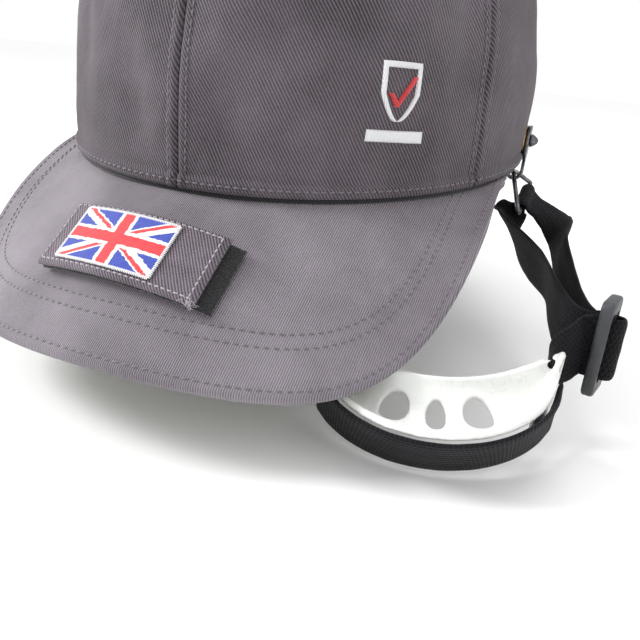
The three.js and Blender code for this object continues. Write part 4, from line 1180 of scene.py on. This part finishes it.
def webbing_rings(stations, steps):
    """Cross-sections of flat webbing with soft rounded edges, and the UVs of each ring."""
    centres = catmull([s[0] for s in stations], steps)
    sides = catmull([s[1] for s in stations], steps)
    widths = [s[2] if len(s) > 2 else 20.0 for s in stations]
    widths = np.interp(np.arange(len(centres)) / steps, np.arange(len(widths)), widths)
    tangents = unit(np.gradient(centres, axis=0))
    sides = unit(sides - tangents * np.sum(sides * tangents, -1, keepdims=True))
    faces = np.cross(tangents, sides)
    along = np.concatenate([[0], np.cumsum(np.linalg.norm(np.diff(centres, axis=0), axis=1))])
    across = np.linspace(-1, 1, 21)
    across = np.sign(across) * (1 - (1 - np.abs(across)) ** 1.4)
    thick = (WEB_THICK / 2) * (1 - np.abs(across) ** 16 * 0.75) * (1 + 0.05 * np.cos(across * 9))
    section = np.concatenate([np.stack([across, thick], 1), np.stack([across, -thick], 1)[::-1]])
    wander = 0.22 * smooth_noise(along / 17, along * 0, 51, 2)
    half = (widths / 2)[:, None]
    reach = section[None, :, 0] * half + wander[:, None] * np.abs(section[None, :, 0])
    rings = centres[:, None] + sides[:, None] * reach[..., None]
    rings = rings + faces[:, None] * section[None, :, 1, None]
    uvs = np.stack(np.broadcast_arrays(reach, along[:, None]), -1)
    return rings, uvs, centres, sides, faces, along


def webbing(name, stations, steps=14, body="chin_strap", place=from_strap):
    """One piece of webbing, and the middle line that its stitches follow."""
    rings, uvs, centres, sides, faces, along = webbing_rings(stations, steps)
    obj = sweep(name, place(rings), False, uvs.reshape(-1, 2))
    finish_piece(obj, WEBBING, body, [name])
    return centres, sides, faces, along


def bar_tack(name, centres, sides, faces, along, start, side_of_web):
    """A box of close stitches that sews two thicknesses together."""
    length = 7.0
    rows = []
    for offset in np.linspace(-7.4, 7.4, 5):
        keep = (along > start) & (along < start + length)
        line = centres[keep] + sides[keep] * offset + faces[keep] * (WEB_THICK / 2 + 0.05) * side_of_web
        if len(line) > 2:
            rows.append((from_strap(line), turn_like(from_strap, faces[keep] * side_of_web)))
    for spot in (start + 0.4, start + length - 0.4):
        index = int(np.argmin(np.abs(along - spot)))
        t = np.linspace(-7.6, 7.6, 30)[:, None]
        line = centres[index] + sides[index] * t + faces[index] * (WEB_THICK / 2 + 0.05) * side_of_web
        facing = np.broadcast_to(faces[index] * side_of_web, line.shape)
        rows.append((from_strap(line), turn_like(from_strap, facing)))
    stitches(name, rows, DARK_THREAD_AND_HOLE_SHADE, "chin_strap", 2.0, 0.3, 0.85, 0.02)


def turn_like(place, vectors):
    """Directions turned the way that place turns points."""
    return place(np.asarray(vectors, float)) - place(np.zeros(3))


# A station of webbing is its centre, the direction across it and, where it is bunched, its width.
# In the two left runs, the stations that the CAD has too were rounded from a fitted path.
def build_left_webbing():
    outer = ring_turn(1) + [
        ((98.2, 11, 22.3), (0.2, 0.97, 0.12), 14),
        ((103.5, 8.6, 20.4), (0.5, 0.85, 0.15), 13),
        ((107.8, 3, 19.6), (0.7, 0.55, 0.46), 12),
        ((110.8, -5, 19.6), (0.45, 0.15, 0.88), 14),
        ((112.3, -15, 19.8), (0.2, 0.05, 0.97), 18),
        ((113, -27, 19.2), (0.03, 0.05, 1)),
        ((116.2, -42, 17.2), (0.08, -0.05, 0.99)),
        ((120.3, -59, 17), (0.03, 0.03, 1)),
        ((122.6, -66.5, 17.2), (0, 0.12, 0.99)),
        ((124.7, -72.2, 17.4), (-0.01, 0.2, 0.97)),
        in_slider(-4.6, SLOT),
        in_slider(-3, SLOT),
    ]
    webbing("webbing_left_outer", outer, 12)
    inner = [
        ((90.6, 11.2, 21.6), (0.02, 0.98, 0.2), 16),
        ((88.9, 9, 19.6), (-0.8, 0.4, 0.2), 14),
        ((89.4, 3.2, 17.2), (-0.62, 0.1, 0.72), 16),
        ((93, -6.8, 15), (-0.53, 0.31, 0.79)),
        ((100.4, -21.7, 14.9), (-0.36, 0.25, 0.89)),
        ((109, -38.5, 16.3), (-0.28, 0.12, 0.94)),
        ((113.4, -56, 17.2), (-0.1, 0, 0.99)),
        ((116.6, -66, 17.4), (-0.05, 0.15, 0.98)),
        ((119.2, -72.2, 17.8), (-0.03, 0.2, 0.97)),
        ((122, -75.9, 18), (-0.02, 0.24, 0.96)),
        in_slider(-5.2, 0),
        in_slider(-2.6, 0),
    ]
    webbing("webbing_left_inner", inner, 12)
    lead = [in_slider(-2, SLOT), in_slider(0, SLOT)]
    for angle in range(90, -91, -18):
        c, s = math.cos(angle * DEG), math.sin(angle * DEG)
        lead.append(in_slider(1.9 + SLOT * c, SLOT * s))
    lead += [
        in_slider(0, -SLOT),
        in_slider(-2.2, -SLOT),
        in_slider(-4.2, -SLOT - 0.8),
        ((121.4, -85.6, 17.6), (0, 0.2, 0.98)),
        ((117, -91, 15.2), (0, 0.06, 0.99)),
        (in_cup(68, 35.1, 13.6), (0, 0, 1)),
    ]
    webbing("webbing_left_lead", lead, 12)


def build_right_webbing():
    right = [
        (in_cup(-68, 35.1, 13.6), (0, 0, 1)),
        (in_cup(-84, 35.8, 13.2), (0, 0, 1)),
        ((30, -88, 12.3), (0.25, 0.25, 0.93)),
        ((0, -59, 11.5), (0.3, 0.3, 0.9)),
        ((-35, -34, 12.5), (0.15, 0.4, 0.9)),
        ((-66, -10, 13.5), (0, 0.7, 0.7)),
        ((-84, 8, 18), (0, 0.95, 0.3)),
        ((-90.1, 12, 21.4), (-0.05, 0.98, 0.19), 15.5),
    ] + ring_turn(-1) + [
        ((-96.4, 11, 21), (0, 0.98, 0.2), 18),
        ((-95.2, 7.5, 15), (0, 0.93, 0.36)),
        ((-88, -2, 8), (0, 0.8, 0.6)),
    ]
    run = webbing("webbing_right_run", right, 14)
    bar_tack("right_bar_tack", *run, run[3][-1] - 12, -1)


def build_cup_webbing():
    theta = np.arange(-60.5, 61.6, 12.1)
    low = around_cup(CUP_RADIUS, theta, 0.4)
    high = around_cup(CUP_RADIUS + flare_at(theta), theta, 18.8)
    front = [((a + b) / 2, unit(b - a)) for a, b in zip(low, high)]
    webbing("webbing_cup_front", front, 14, "cup", from_cup)


# ---------------------------------------------------------------- chin cup

def ease_in(t):
    t = np.clip(t, 0, 1)
    return t * t * (3 - 2 * t)


def cup_mid(u, v):
    """The middle of the dish: its ends rise and close in on the lugs."""
    u, v = np.broadcast_arrays(np.asarray(u, float), np.asarray(v, float))
    side = (u - 0.5) * 2
    end = ease_in((np.abs(side) - 0.62) / 0.38)
    theta = side * CUP_END_TURN
    flare = flare_at(np.clip(theta, -CUP_WEB_TURN, CUP_WEB_TURN))
    near = around_cup(CUP_RADIUS + flare - 2.3, theta, 19.5 + 5.2 * end)
    tip = around_cup(CUP_RADIUS - 2.1, np.sign(side) * CUP_END_TURN, 24.7)
    x = 31.0 * side
    far = np.stack([x, -(25 + (10 - 25) * (x / 35) ** 2), np.full_like(x, 22.0)], -1)
    far = far + (tip - far) * end[..., None]
    sag = 6.5 * np.clip(4 * v * (1 - v), 0, 1) * (1 - np.clip(np.abs(side), 0, 1) ** 4)
    point = near + (far - near) * v[..., None]
    point[..., 2] -= sag
    return point


def cup_normal(u, v):
    step = 1e-3
    u, v = np.clip(u, step, 1 - step), np.clip(v, step, 1 - step)
    along = cup_mid(u + step, v) - cup_mid(u - step, v)
    rise = cup_mid(u, v + step) - cup_mid(u, v - step)
    normal = unit(np.cross(along, rise))
    return normal * np.sign(normal[..., 2:3] + 1e-9)


def apply_modifiers(obj):
    graph = bpy.context.evaluated_depsgraph_get()
    mesh = bpy.data.meshes.new_from_object(obj.evaluated_get(graph))
    old = obj.data
    obj.modifiers.clear()
    obj.data = mesh
    bpy.data.meshes.remove(old)
    return obj


def cut_away(obj, tools):
    for tool in tools:
        modifier = obj.modifiers.new("cut", "BOOLEAN")
        modifier.operation = "DIFFERENCE"
        modifier.solver = "EXACT"
        modifier.object = tool
    apply_modifiers(obj)
    for tool in tools:
        bpy.data.objects.remove(tool, do_unlink=True)
    return obj


def prism(name, outline, centre, x_axis, y_axis, depth):
    """A straight bar with the given outline, made as a tool to cut with."""
    x_axis, y_axis = unit(x_axis), unit(y_axis)
    through = np.cross(x_axis, y_axis)
    rings = []
    for end in (-depth / 2, depth / 2):
        rings.append([centre + x_axis * a + y_axis * b + through * end for a, b in outline])
    return sweep(name, rings)


def oval(half_x, half_y):
    count = 40
    return [(half_x * math.cos(TAU * k / count), half_y * math.sin(TAU * k / count)) for k in range(count)]


def melt(obj, others, rounds=2):
    """Joins touching closed pieces into one smooth skin."""
    mesh = bmesh.new()
    for piece in [obj, *others]:
        mesh.from_mesh(piece.data)
    mesh.to_mesh(obj.data)
    mesh.free()
    for piece in others:
        bpy.data.objects.remove(piece, do_unlink=True)
    remesh = obj.modifiers.new("voxel", "REMESH")
    remesh.mode = "VOXEL"
    remesh.voxel_size = 0.42 * MM
    soft = obj.modifiers.new("soft", "SMOOTH")
    soft.factor = 0.5
    soft.iterations = rounds
    return apply_modifiers(obj)


def cup_lug(side):
    """The wall that runs up from the dish's end, with a round tip."""
    theta = np.linspace(48, 76.4, 44)[:, None] * side
    share = np.linspace(0, 1, 26)[None, :]
    curl = np.clip((np.abs(theta) - 66) / 10.5, 0, 1)
    half = 12.7 * np.sqrt(1 - curl ** 2)
    low = 13.1 - half
    high = 13.1 + half - 6.2 * (1 - ease_in((np.abs(theta) - 48) / 16))
    z = low + (high - low) * share
    theta = theta + 0 * z
    walls = [from_cup(around_cup(radius, theta, z)) for radius in (CUP_RADIUS - 1.3, CUP_RADIUS - 2.9)]
    return slab(f"lug_{side}", *(walls[::-1] if side < 0 else walls))


def cup_tools():
    """What is cut out of the cup: a slot in each lug for the webbing and three holes in the dish."""
    tools = []
    for side in (-1, 1):
        turn = side * 66 * DEG
        out = np.array((math.sin(turn), -math.cos(turn), 0))
        across = np.array((math.cos(turn), math.sin(turn), 0))
        centre = from_cup(np.array(out * CUP_RADIUS + (0, 0, 13.4)))
        width_axis, height_axis = turn_like(from_cup, across), turn_like(from_cup, (0, 0, 1))
        tools.append(prism(f"slot_{side}", rounded(3.2, 20.6, 1.2), centre, width_axis, height_axis, 12))
    for share, width, height in ((0.5, 5.5, 10), (0.64, 8.2, 10.5), (0.36, 8.2, 10.5)):
        spot, e = cup_mid(share, 0.56), 1e-3
        along = unit(cup_mid(share + e, 0.56) - spot)
        rise = unit(cup_mid(share, 0.56 + e) - spot)
        width_axis, height_axis = turn_like(from_cup, along), turn_like(from_cup, rise)
        tools.append(prism("hole", oval(width / 2, height / 2), from_cup(spot), width_axis, height_axis, 12))
    for tool in tools:
        tidy_normals(tool)
    return tools


def build_cup():
    u = np.linspace(0, 1, 90)[:, None]
    v = np.linspace(0, 1, 46)[None, :]
    middle, normal = cup_mid(u, v), cup_normal(*np.broadcast_arrays(u, v))
    bead = 1 + 0.5 * bell(v, 0.045) + 0.95 * bell(1 - v, 0.05) + 0 * u
    half = (0.8 * bead)[..., None]
    dish = slab("chin_cup", from_cup(middle + normal * half), from_cup(middle - normal * half))
    parts = [cup_lug(side) for side in (-1, 1)]
    for part in [dish, *parts]:
        tidy_normals(part)
    melt(dish, parts)
    cut_away(dish, cup_tools())
    melt(dish, [], 5)
    finish_piece(dish, CUP, "cup", ["chin_cup"])


def tidy_normals(obj):
    mesh = bmesh.new()
    mesh.from_mesh(obj.data)
    bmesh.ops.recalc_face_normals(mesh, faces=mesh.faces)
    mesh.to_mesh(obj.data)
    mesh.free()


def rounded(width, height, radius, corner=6):
    """A rectangle with rounded corners, as a row of points."""
    points = []
    for cx, cy, start in ((1, 1, 0), (-1, 1, 90), (-1, -1, 180), (1, -1, 270)):
        for k in range(corner + 1):
            a = (start + 90 * k / corner) * DEG
            points.append((cx * (width / 2 - radius) + radius * math.cos(a),
                           cy * (height / 2 - radius) + radius * math.sin(a)))
    return points


def build_slider():
    """A moulded plate with two slots for the webbing and rounded edges."""
    rings = []
    for depth, shrink in ((-1.8, 0.5), (-1.45, 0.12), (-0.8, 0), (0.8, 0), (1.45, 0.12), (1.8, 0.5)):
        outline = rounded(SLIDER_SIZE[0] - 2 * shrink, SLIDER_SIZE[1] - 2 * shrink, 2.4)
        ring = [SLIDER_CENTRE + SLIDER_RUN * depth + SLIDER_DEEP * a + SLIDER_LONG * b for a, b in outline]
        rings.append(from_strap(ring))
    plate = sweep("strap_slider", rings)
    tidy_normals(plate)
    tools = []
    for side in (-1, 1):
        centre = from_strap(SLIDER_CENTRE + SLIDER_DEEP * side * SLOT)
        deep_axis, long_axis = turn_like(from_strap, SLIDER_DEEP), turn_like(from_strap, SLIDER_LONG)
        tool = prism("slot", rounded(3.6, 22, 0.9), centre, deep_axis, long_axis, 8)
        tidy_normals(tool)
        tools.append(tool)
    cut_away(plate, tools)
    bevel(plate, 0.35, 3, 40)
    finish_piece(plate, BUCKLE, "slider", ["strap_slider"])


# ---------------------------------------------------------------- hooks and rings

HOOK_TOP = 15.0
HOOK_FACE = 90.3
CURL_RADIUS = 3.0
CURL_HEIGHT = -3.6
RIVET_OUTLINE = (
    (0.01, -2.0), (1.5, -2.0), (1.5, 1.75), (2.55, 1.75), (2.65, 2.1), (2.5, 2.7), (2.0, 3.5),
    (1.35, 4.3), (0.8, 4.75), (0.35, 4.95), (0.01, 5.0),
)
EYELET_OUTLINE = (
    (2.0, 0.05), (5.7, 0.0), (6.0, 0.1), (5.95, 0.35), (5.6, 0.5), (4.6, 0.62), (3.2, 0.5), (2.0, 0.4),
)


def build_hooks():
    for label, side in (("left", 1), ("right", -1)):
        mirror = np.array((side, 1, 1))
        # The plate: its section narrows from the flat top into the curl.
        path = []
        for z in np.linspace(HOOK_TOP, 1.2, 22):
            half = 5.0 * min(1.0, 0.62 + 0.38 * ((15.4 - z) / 2.4) ** 0.5) if z > 13 else 5.0
            if z < 4:
                half = 1.8 + 3.2 * max(0.0, (z - 1.2) / 2.8) ** 0.6
            path.append((HOOK_FACE, z, 0.0, half))
        for a in np.linspace(0, -165, 30):
            x = HOOK_FACE - CURL_RADIUS + CURL_RADIUS * math.cos(a * DEG)
            path.append((x, CURL_HEIGHT + CURL_RADIUS * math.sin(a * DEG), a, 1.8))
        rings = []
        for x, z, a, half in path:
            out = np.array((math.cos(a * DEG), 0, math.sin(a * DEG)))
            ring = [np.array((x, HOOK_Y, z)) + out * p + np.array((0, q, 0))
                    for p, q in rounded(1.35, 2 * half, 0.5, 4)]
            rings.append(np.array(ring) * mirror)
        plate = sweep(f"hook_plate_{label}", rings)
        tidy_normals(plate)
        finish_piece(plate, STEEL, "chin_strap", [f"hook_plate_{label}"])
        axis = (side, 0, 0)
        centre = np.array((HOOK_WALL, HOOK_Y, RIVET_Z)) * mirror
        turned(f"hook_rivet_{label}", RIVET_OUTLINE, centre, axis, 40, STEEL)
        base = centre - np.array((0.55, 0, 0)) * mirror
        turned(f"hook_eyelet_{label}", EYELET_OUTLINE, base, axis, 56, BRASS)
        build_ring(label, mirror)


def turned(name, outline, centre, axis, segments, material):
    obj = spin(name, outline, centre, axis, segments)
    tidy_normals(obj)
    subdivide(obj)
    finish_piece(obj, material, "cap", [name])


def build_ring(label, mirror):
    corners = [
        RING_TOP - RING_TOP_DIR * 3.4, RING_BAR - RING_BAR_DIR * 12.2,
        RING_BAR + RING_BAR_DIR * 12.2, RING_TOP + RING_TOP_DIR * 3.4,
    ]
    path = []
    for i, here in enumerate(corners):
        before, after = corners[(i + 3) % 4], corners[(i + 1) % 4]
        a = here + unit(before - here) * 1.5
        b = here + unit(after - here) * 1.5
        c = after + unit(here - after) * 1.5
        for t in np.linspace(0, 1, 10)[:-1]:
            path.append((1 - t) ** 2 * a + 2 * t * (1 - t) * here + t * t * b)
        for t in np.linspace(0, 1, 16)[:-1]:
            path.append(b + (c - b) * t)
    path = np.array(path)
    plane = unit(np.cross(corners[1] - corners[0], corners[2] - corners[0]))
    tangent = unit(np.roll(path, -1, 0) - np.roll(path, 1, 0))
    outward = unit(np.cross(tangent, plane))
    rings = []
    for point, out in zip(path, outward):
        rings.append([point + out * 0.95 * math.cos(a) + plane * 0.95 * math.sin(a)
                      for a in np.linspace(0, TAU, 17)[:-1]])
    ring = sweep(f"ring_{label}", from_strap(np.array(rings) * mirror), True)
    tidy_normals(ring)
    finish_piece(ring, STEEL, "chin_strap", [f"ring_{label}"])


# ---------------------------------------------------------------- bands, closure and liner

def band_point(phi, height):
    return crown_point(phi, share_above_hem(phi, height))


def band(name, start, end, low, high, inset, thick, material, body, puff=0.0, columns=240,
         stands_for=True):
    """A band inside the hem: its faces swell by puff between its sewn edges."""
    phi = np.linspace(start, end, columns)[:, None] * DEG
    share = np.linspace(0, 1, 26)[None, :]
    height = low + (high - low) * share
    swell = puff * np.clip(4 * share * (1 - share), 0, 1) ** 0.45
    swell = swell * (1 + 0.3 * smooth_noise(phi * MEAN_RADIUS / 20, height / 20, 61, 2))
    ends = np.clip(np.minimum(phi - start * DEG, end * DEG - phi) * 60, 0, 1) ** 0.5
    soft = 0.35 * thick * (bell(share, 0.05) + bell(1 - share, 0.05))
    share_up = share_above_hem(phi, height)
    normal = crown_normal(phi + 0 * height, share_up)
    dents = soft_relief(phi + 0 * height, share_up)
    outer = band_point(phi + 0 * height, height + 0 * phi) + normal * dents[..., None]
    front = outer - normal * (inset + soft)[..., None]
    back = outer - normal * (inset + thick - soft + swell * ends)[..., None]
    uvs = np.stack(np.broadcast_arrays(phi * MEAN_RADIUS, height), -1)
    obj = slab(name, front, back, uvs)
    return finish_piece(obj, material, body, [name] if stands_for else ())


def band_row(start, end, height, inset, spots=400):
    phi = np.linspace(start, end, spots) * DEG
    share_up = share_above_hem(phi, height)
    normal = crown_normal(phi, share_up)
    outer = band_point(phi, height) + normal * soft_relief(phi, share_up)[..., None]
    return outer - normal * inset, normal * (-1 if inset > 2.5 else 1)


def build_bands():
    # The turned-in edge of the crown closes the slit between the hem and the bill; it is coloured near-black
    # as painted shade for that slit.
    band("hem_fold", -88, 88, -1.6, 4.0, 0.35, 1.2, HEM_SHADE_TWILL, "cap", 0.0, 300, False)
    band("sweatband", -150, 150, 0.8, 30, 1.75, 1.3, LINING, "cap", 1.5)
    rows = [band_row(-149, 149, h, 3.35, 1500) for h in (2.2, 28.6)]
    stitches("sweatband_stitches", rows, PALE_THREAD, "cap", 3.0, 0.26)
    tab = math.degrees(math.asin(41 / HALF_WIDTH))
    band("closure_tab_left", 180 - tab, 163.85, 1.5, 23.5, 2.0, 1.2, CROWN, "cap")
    band("closure_hook_strap", 164.15, 195, 1.5, 23.5, 2.0, 1.2, CROWN, "rear_strap")
    band("closure_loop_strap", 170, 180 + tab, 1.5, 23.5, 3.6, 1.2, WEBBING, "cap")
    rows = [band_row(165, 194.4, h, 1.85, 120) for h in (3.4, 21.6)]
    rows += [vertical_row(a, 3.4, 21.6, 1.85) for a in (165.4, 193.6)]
    stitches("closure_hook_stitches", rows, THREAD, "rear_strap", 2.5, 0.25)
    rows = [band_row(180 - tab + 3, 163.2, h, 1.85, 60) for h in (3.4, 21.6)]
    stitches("closure_tab_stitches", rows, THREAD, "cap", 2.5, 0.25)


def vertical_row(angle, low, high, inset):
    height = np.linspace(low, high, 40)
    phi = np.full_like(height, angle * DEG)
    normal = crown_normal(phi, share_above_hem(phi, height))
    return band_point(phi, height) - normal * inset, normal


def build_arch_binding():
    """The folded binding sewn round the edge of the rear opening."""
    x = ARCH_HALF * np.sin(np.linspace(-1, 1, 140) * 88 * DEG)
    # The angle whose plan point has this x: found by stepping, as the plan is not a true circle.
    phi = math.pi - np.arcsin(np.clip(x / HALF_WIDTH, -1, 1))
    for _ in range(12):
        now, _ = plan_point(phi)
        phi = phi + (now - x) / HALF_WIDTH
    q = arch_share(phi)
    centre = crown_point(phi, q, CLOTH / 2)
    normal = crown_normal(phi, q)
    tangent = unit(np.gradient(centre, axis=0))
    inward = unit(np.cross(tangent, normal))
    middle = crown_point(np.array(math.pi), 0.1)
    facing = np.sign(np.sum((middle - centre) * inward, -1, keepdims=True))
    inward = inward * facing
    rings = []
    for k in range(len(centre)):
        ring = []
        for a, b in rounded(2.6, 4.6, 1.1, 4):
            ring.append(centre[k] + normal[k] * a + inward[k] * (b - 1.5))
        rings.append(ring)
    obj = sweep("rear_arch_binding", rings)
    tidy_normals(obj)
    finish_piece(obj, CROWN_PLAIN, "cap")
    row = centre + normal * 1.4 - inward * 2.6
    stitches("rear_arch_stitches", [(row, normal)], THREAD, "cap", 2.4, 0.25)


LINER_RIM = 24.0
LINER_OUTER = 6.5
LINER_INNER = 8.5


def liner_surface(phi, v, inset):
    low = hem_share(phi, LINER_RIM, inset)
    q = low + (1 - low) * np.sin(v * 88 * DEG)
    return crown_point(phi, np.minimum(q, 0.9996), inset)


def build_liner():
    columns, rows = 144, 40
    phi = np.arange(columns)[:, None] / columns * TAU
    v = np.linspace(0, 1, rows)[None, :]
    outer = liner_surface(phi, v, LINER_OUTER)
    inner = liner_surface(phi, v, LINER_INNER)
    rings = [outer[:, j] for j in range(rows - 1, -1, -1)] + [inner[:, j] for j in range(rows)]
    shell = sweep("liner_shell", rings)
    tidy_normals(shell)
    tools = []
    slot = slot_outline(16, 3.5)
    for x in (-28, 0, 28):
        tools.append(prism("slot", slot, np.array((x, -4, CROWN_HEIGHT)), (0, -1, 0), (1, 0, 0), 70))
    slot = slot_outline(14, 3.5)
    for y in (-30, 0, 30):
        tools.append(prism("slot", slot, np.array((0, y, 62)), (0, 0, 1), (0, 1, 0), 300))
    for tool in tools:
        tidy_normals(tool)
    cut_away(shell, tools)
    bevel(shell, 0.5, 3, 50)
    finish_piece(shell, SHELL, "liner", ["liner_shell"])


def slot_outline(half_length, radius):
    points = []
    for centre, start in ((half_length, -90), (-half_length, 90)):
        for k in range(13):
            a = (start + 15 * k) * DEG
            points.append((centre + radius * math.cos(a), radius * math.sin(a)))
    return points


def swell_pad(obj, cap_move, voxel):
    """Blows a pad up a little with Cloth, so it bulges between its edges, and applies the result."""
    remesh = obj.modifiers.new("voxel", "REMESH")
    remesh.mode = "VOXEL"
    remesh.voxel_size = voxel * MM
    apply_modifiers(obj)
    start = np.zeros(len(obj.data.vertices) * 3)
    obj.data.vertices.foreach_get("co", start)
    start = start.reshape(-1, 3)
    cloth = obj.modifiers.new("cloth", "CLOTH")
    cloth.settings.quality = 5
    cloth.settings.use_pressure = True
    cloth.settings.uniform_pressure_force = 4
    cloth.settings.effector_weights.gravity = 0
    cloth.collision_settings.use_self_collision = False
    for number in range(1, 21):
        scene.frame_set(number)
    apply_modifiers(obj)
    end = np.zeros(len(obj.data.vertices) * 3)
    obj.data.vertices.foreach_get("co", end)
    moved = end.reshape(-1, 3) - start
    length = np.linalg.norm(moved, axis=1, keepdims=True)
    moved = moved * np.minimum(1, cap_move * MM / np.maximum(length, 1e-9))
    obj.data.vertices.foreach_set("co", (start + moved).ravel())
    scene.frame_set(1)
    subdivide(obj)
    apply_modifiers(obj)


def build_pads():
    pads = {
        "pad_front": (-34, 34, 0.24, 0.46), "pad_rear": (146, 214, 0.24, 0.46),
        "pad_left": (74, 106, 0.24, 0.33), "pad_right": (-106, -74, 0.24, 0.33),
    }
    for name, (start, end, low, high) in pads.items():
        u = np.linspace(0, 1, 56)[:, None]
        v = np.linspace(0, 1, 22)[None, :]
        # Rounded corners: the strip narrows near its ends.
        narrow = np.sqrt(np.clip(1 - np.clip((np.abs(2 * u - 1) - 0.86) / 0.14, 0, 1) ** 2, 0.02, 1))
        narrow = 0.25 + 0.75 * narrow
        phi = (start + (end - start) * u) * DEG + 0 * v
        q = low + (high - low) * (0.5 + (v - 0.5) * narrow)
        plump = np.clip(16 * u * (1 - u) * v * (1 - v), 0, 1) ** 0.3
        front = crown_point(phi, q) - crown_normal(phi, q) * 9.7
        back = crown_point(phi, q) - crown_normal(phi, q) * (10.6 + 3.3 * plump)[..., None]
        pad = slab(name, front, back)
        swell_pad(pad, 1.0, 1.6)
        finish_piece(pad, FOAM, "liner", [name])
    build_top_pad()


def build_top_pad():
    outline = [
        (0.01, -3.1), (0.85, -3.1), (0.96, -2.5), (1, -1), (1, 1),
        (0.96, 2.4), (0.85, 3.1), (0.5, 3.5), (0.01, 3.6),
    ]
    rings = []
    for k in range(64):
        a = TAU * k / 64
        rings.append([(10.2 * r * math.cos(a), 25.5 * r * math.sin(a), 120.5 + h) for r, h in outline])
    top = sweep("pad_top", rings, True)
    tidy_normals(top)
    finish_piece(top, FOAM, "liner", ["pad_top"])


add_camera()
add_studio()
build_crown()
build_button()
build_eyelets()
build_bill()
build_patch()
build_badge()
build_left_webbing()
build_right_webbing()
build_cup_webbing()
build_cup()
build_slider()
build_hooks()
build_bands()
build_arch_binding()
build_liner()
build_pads()

bpy.context.view_layer.update()
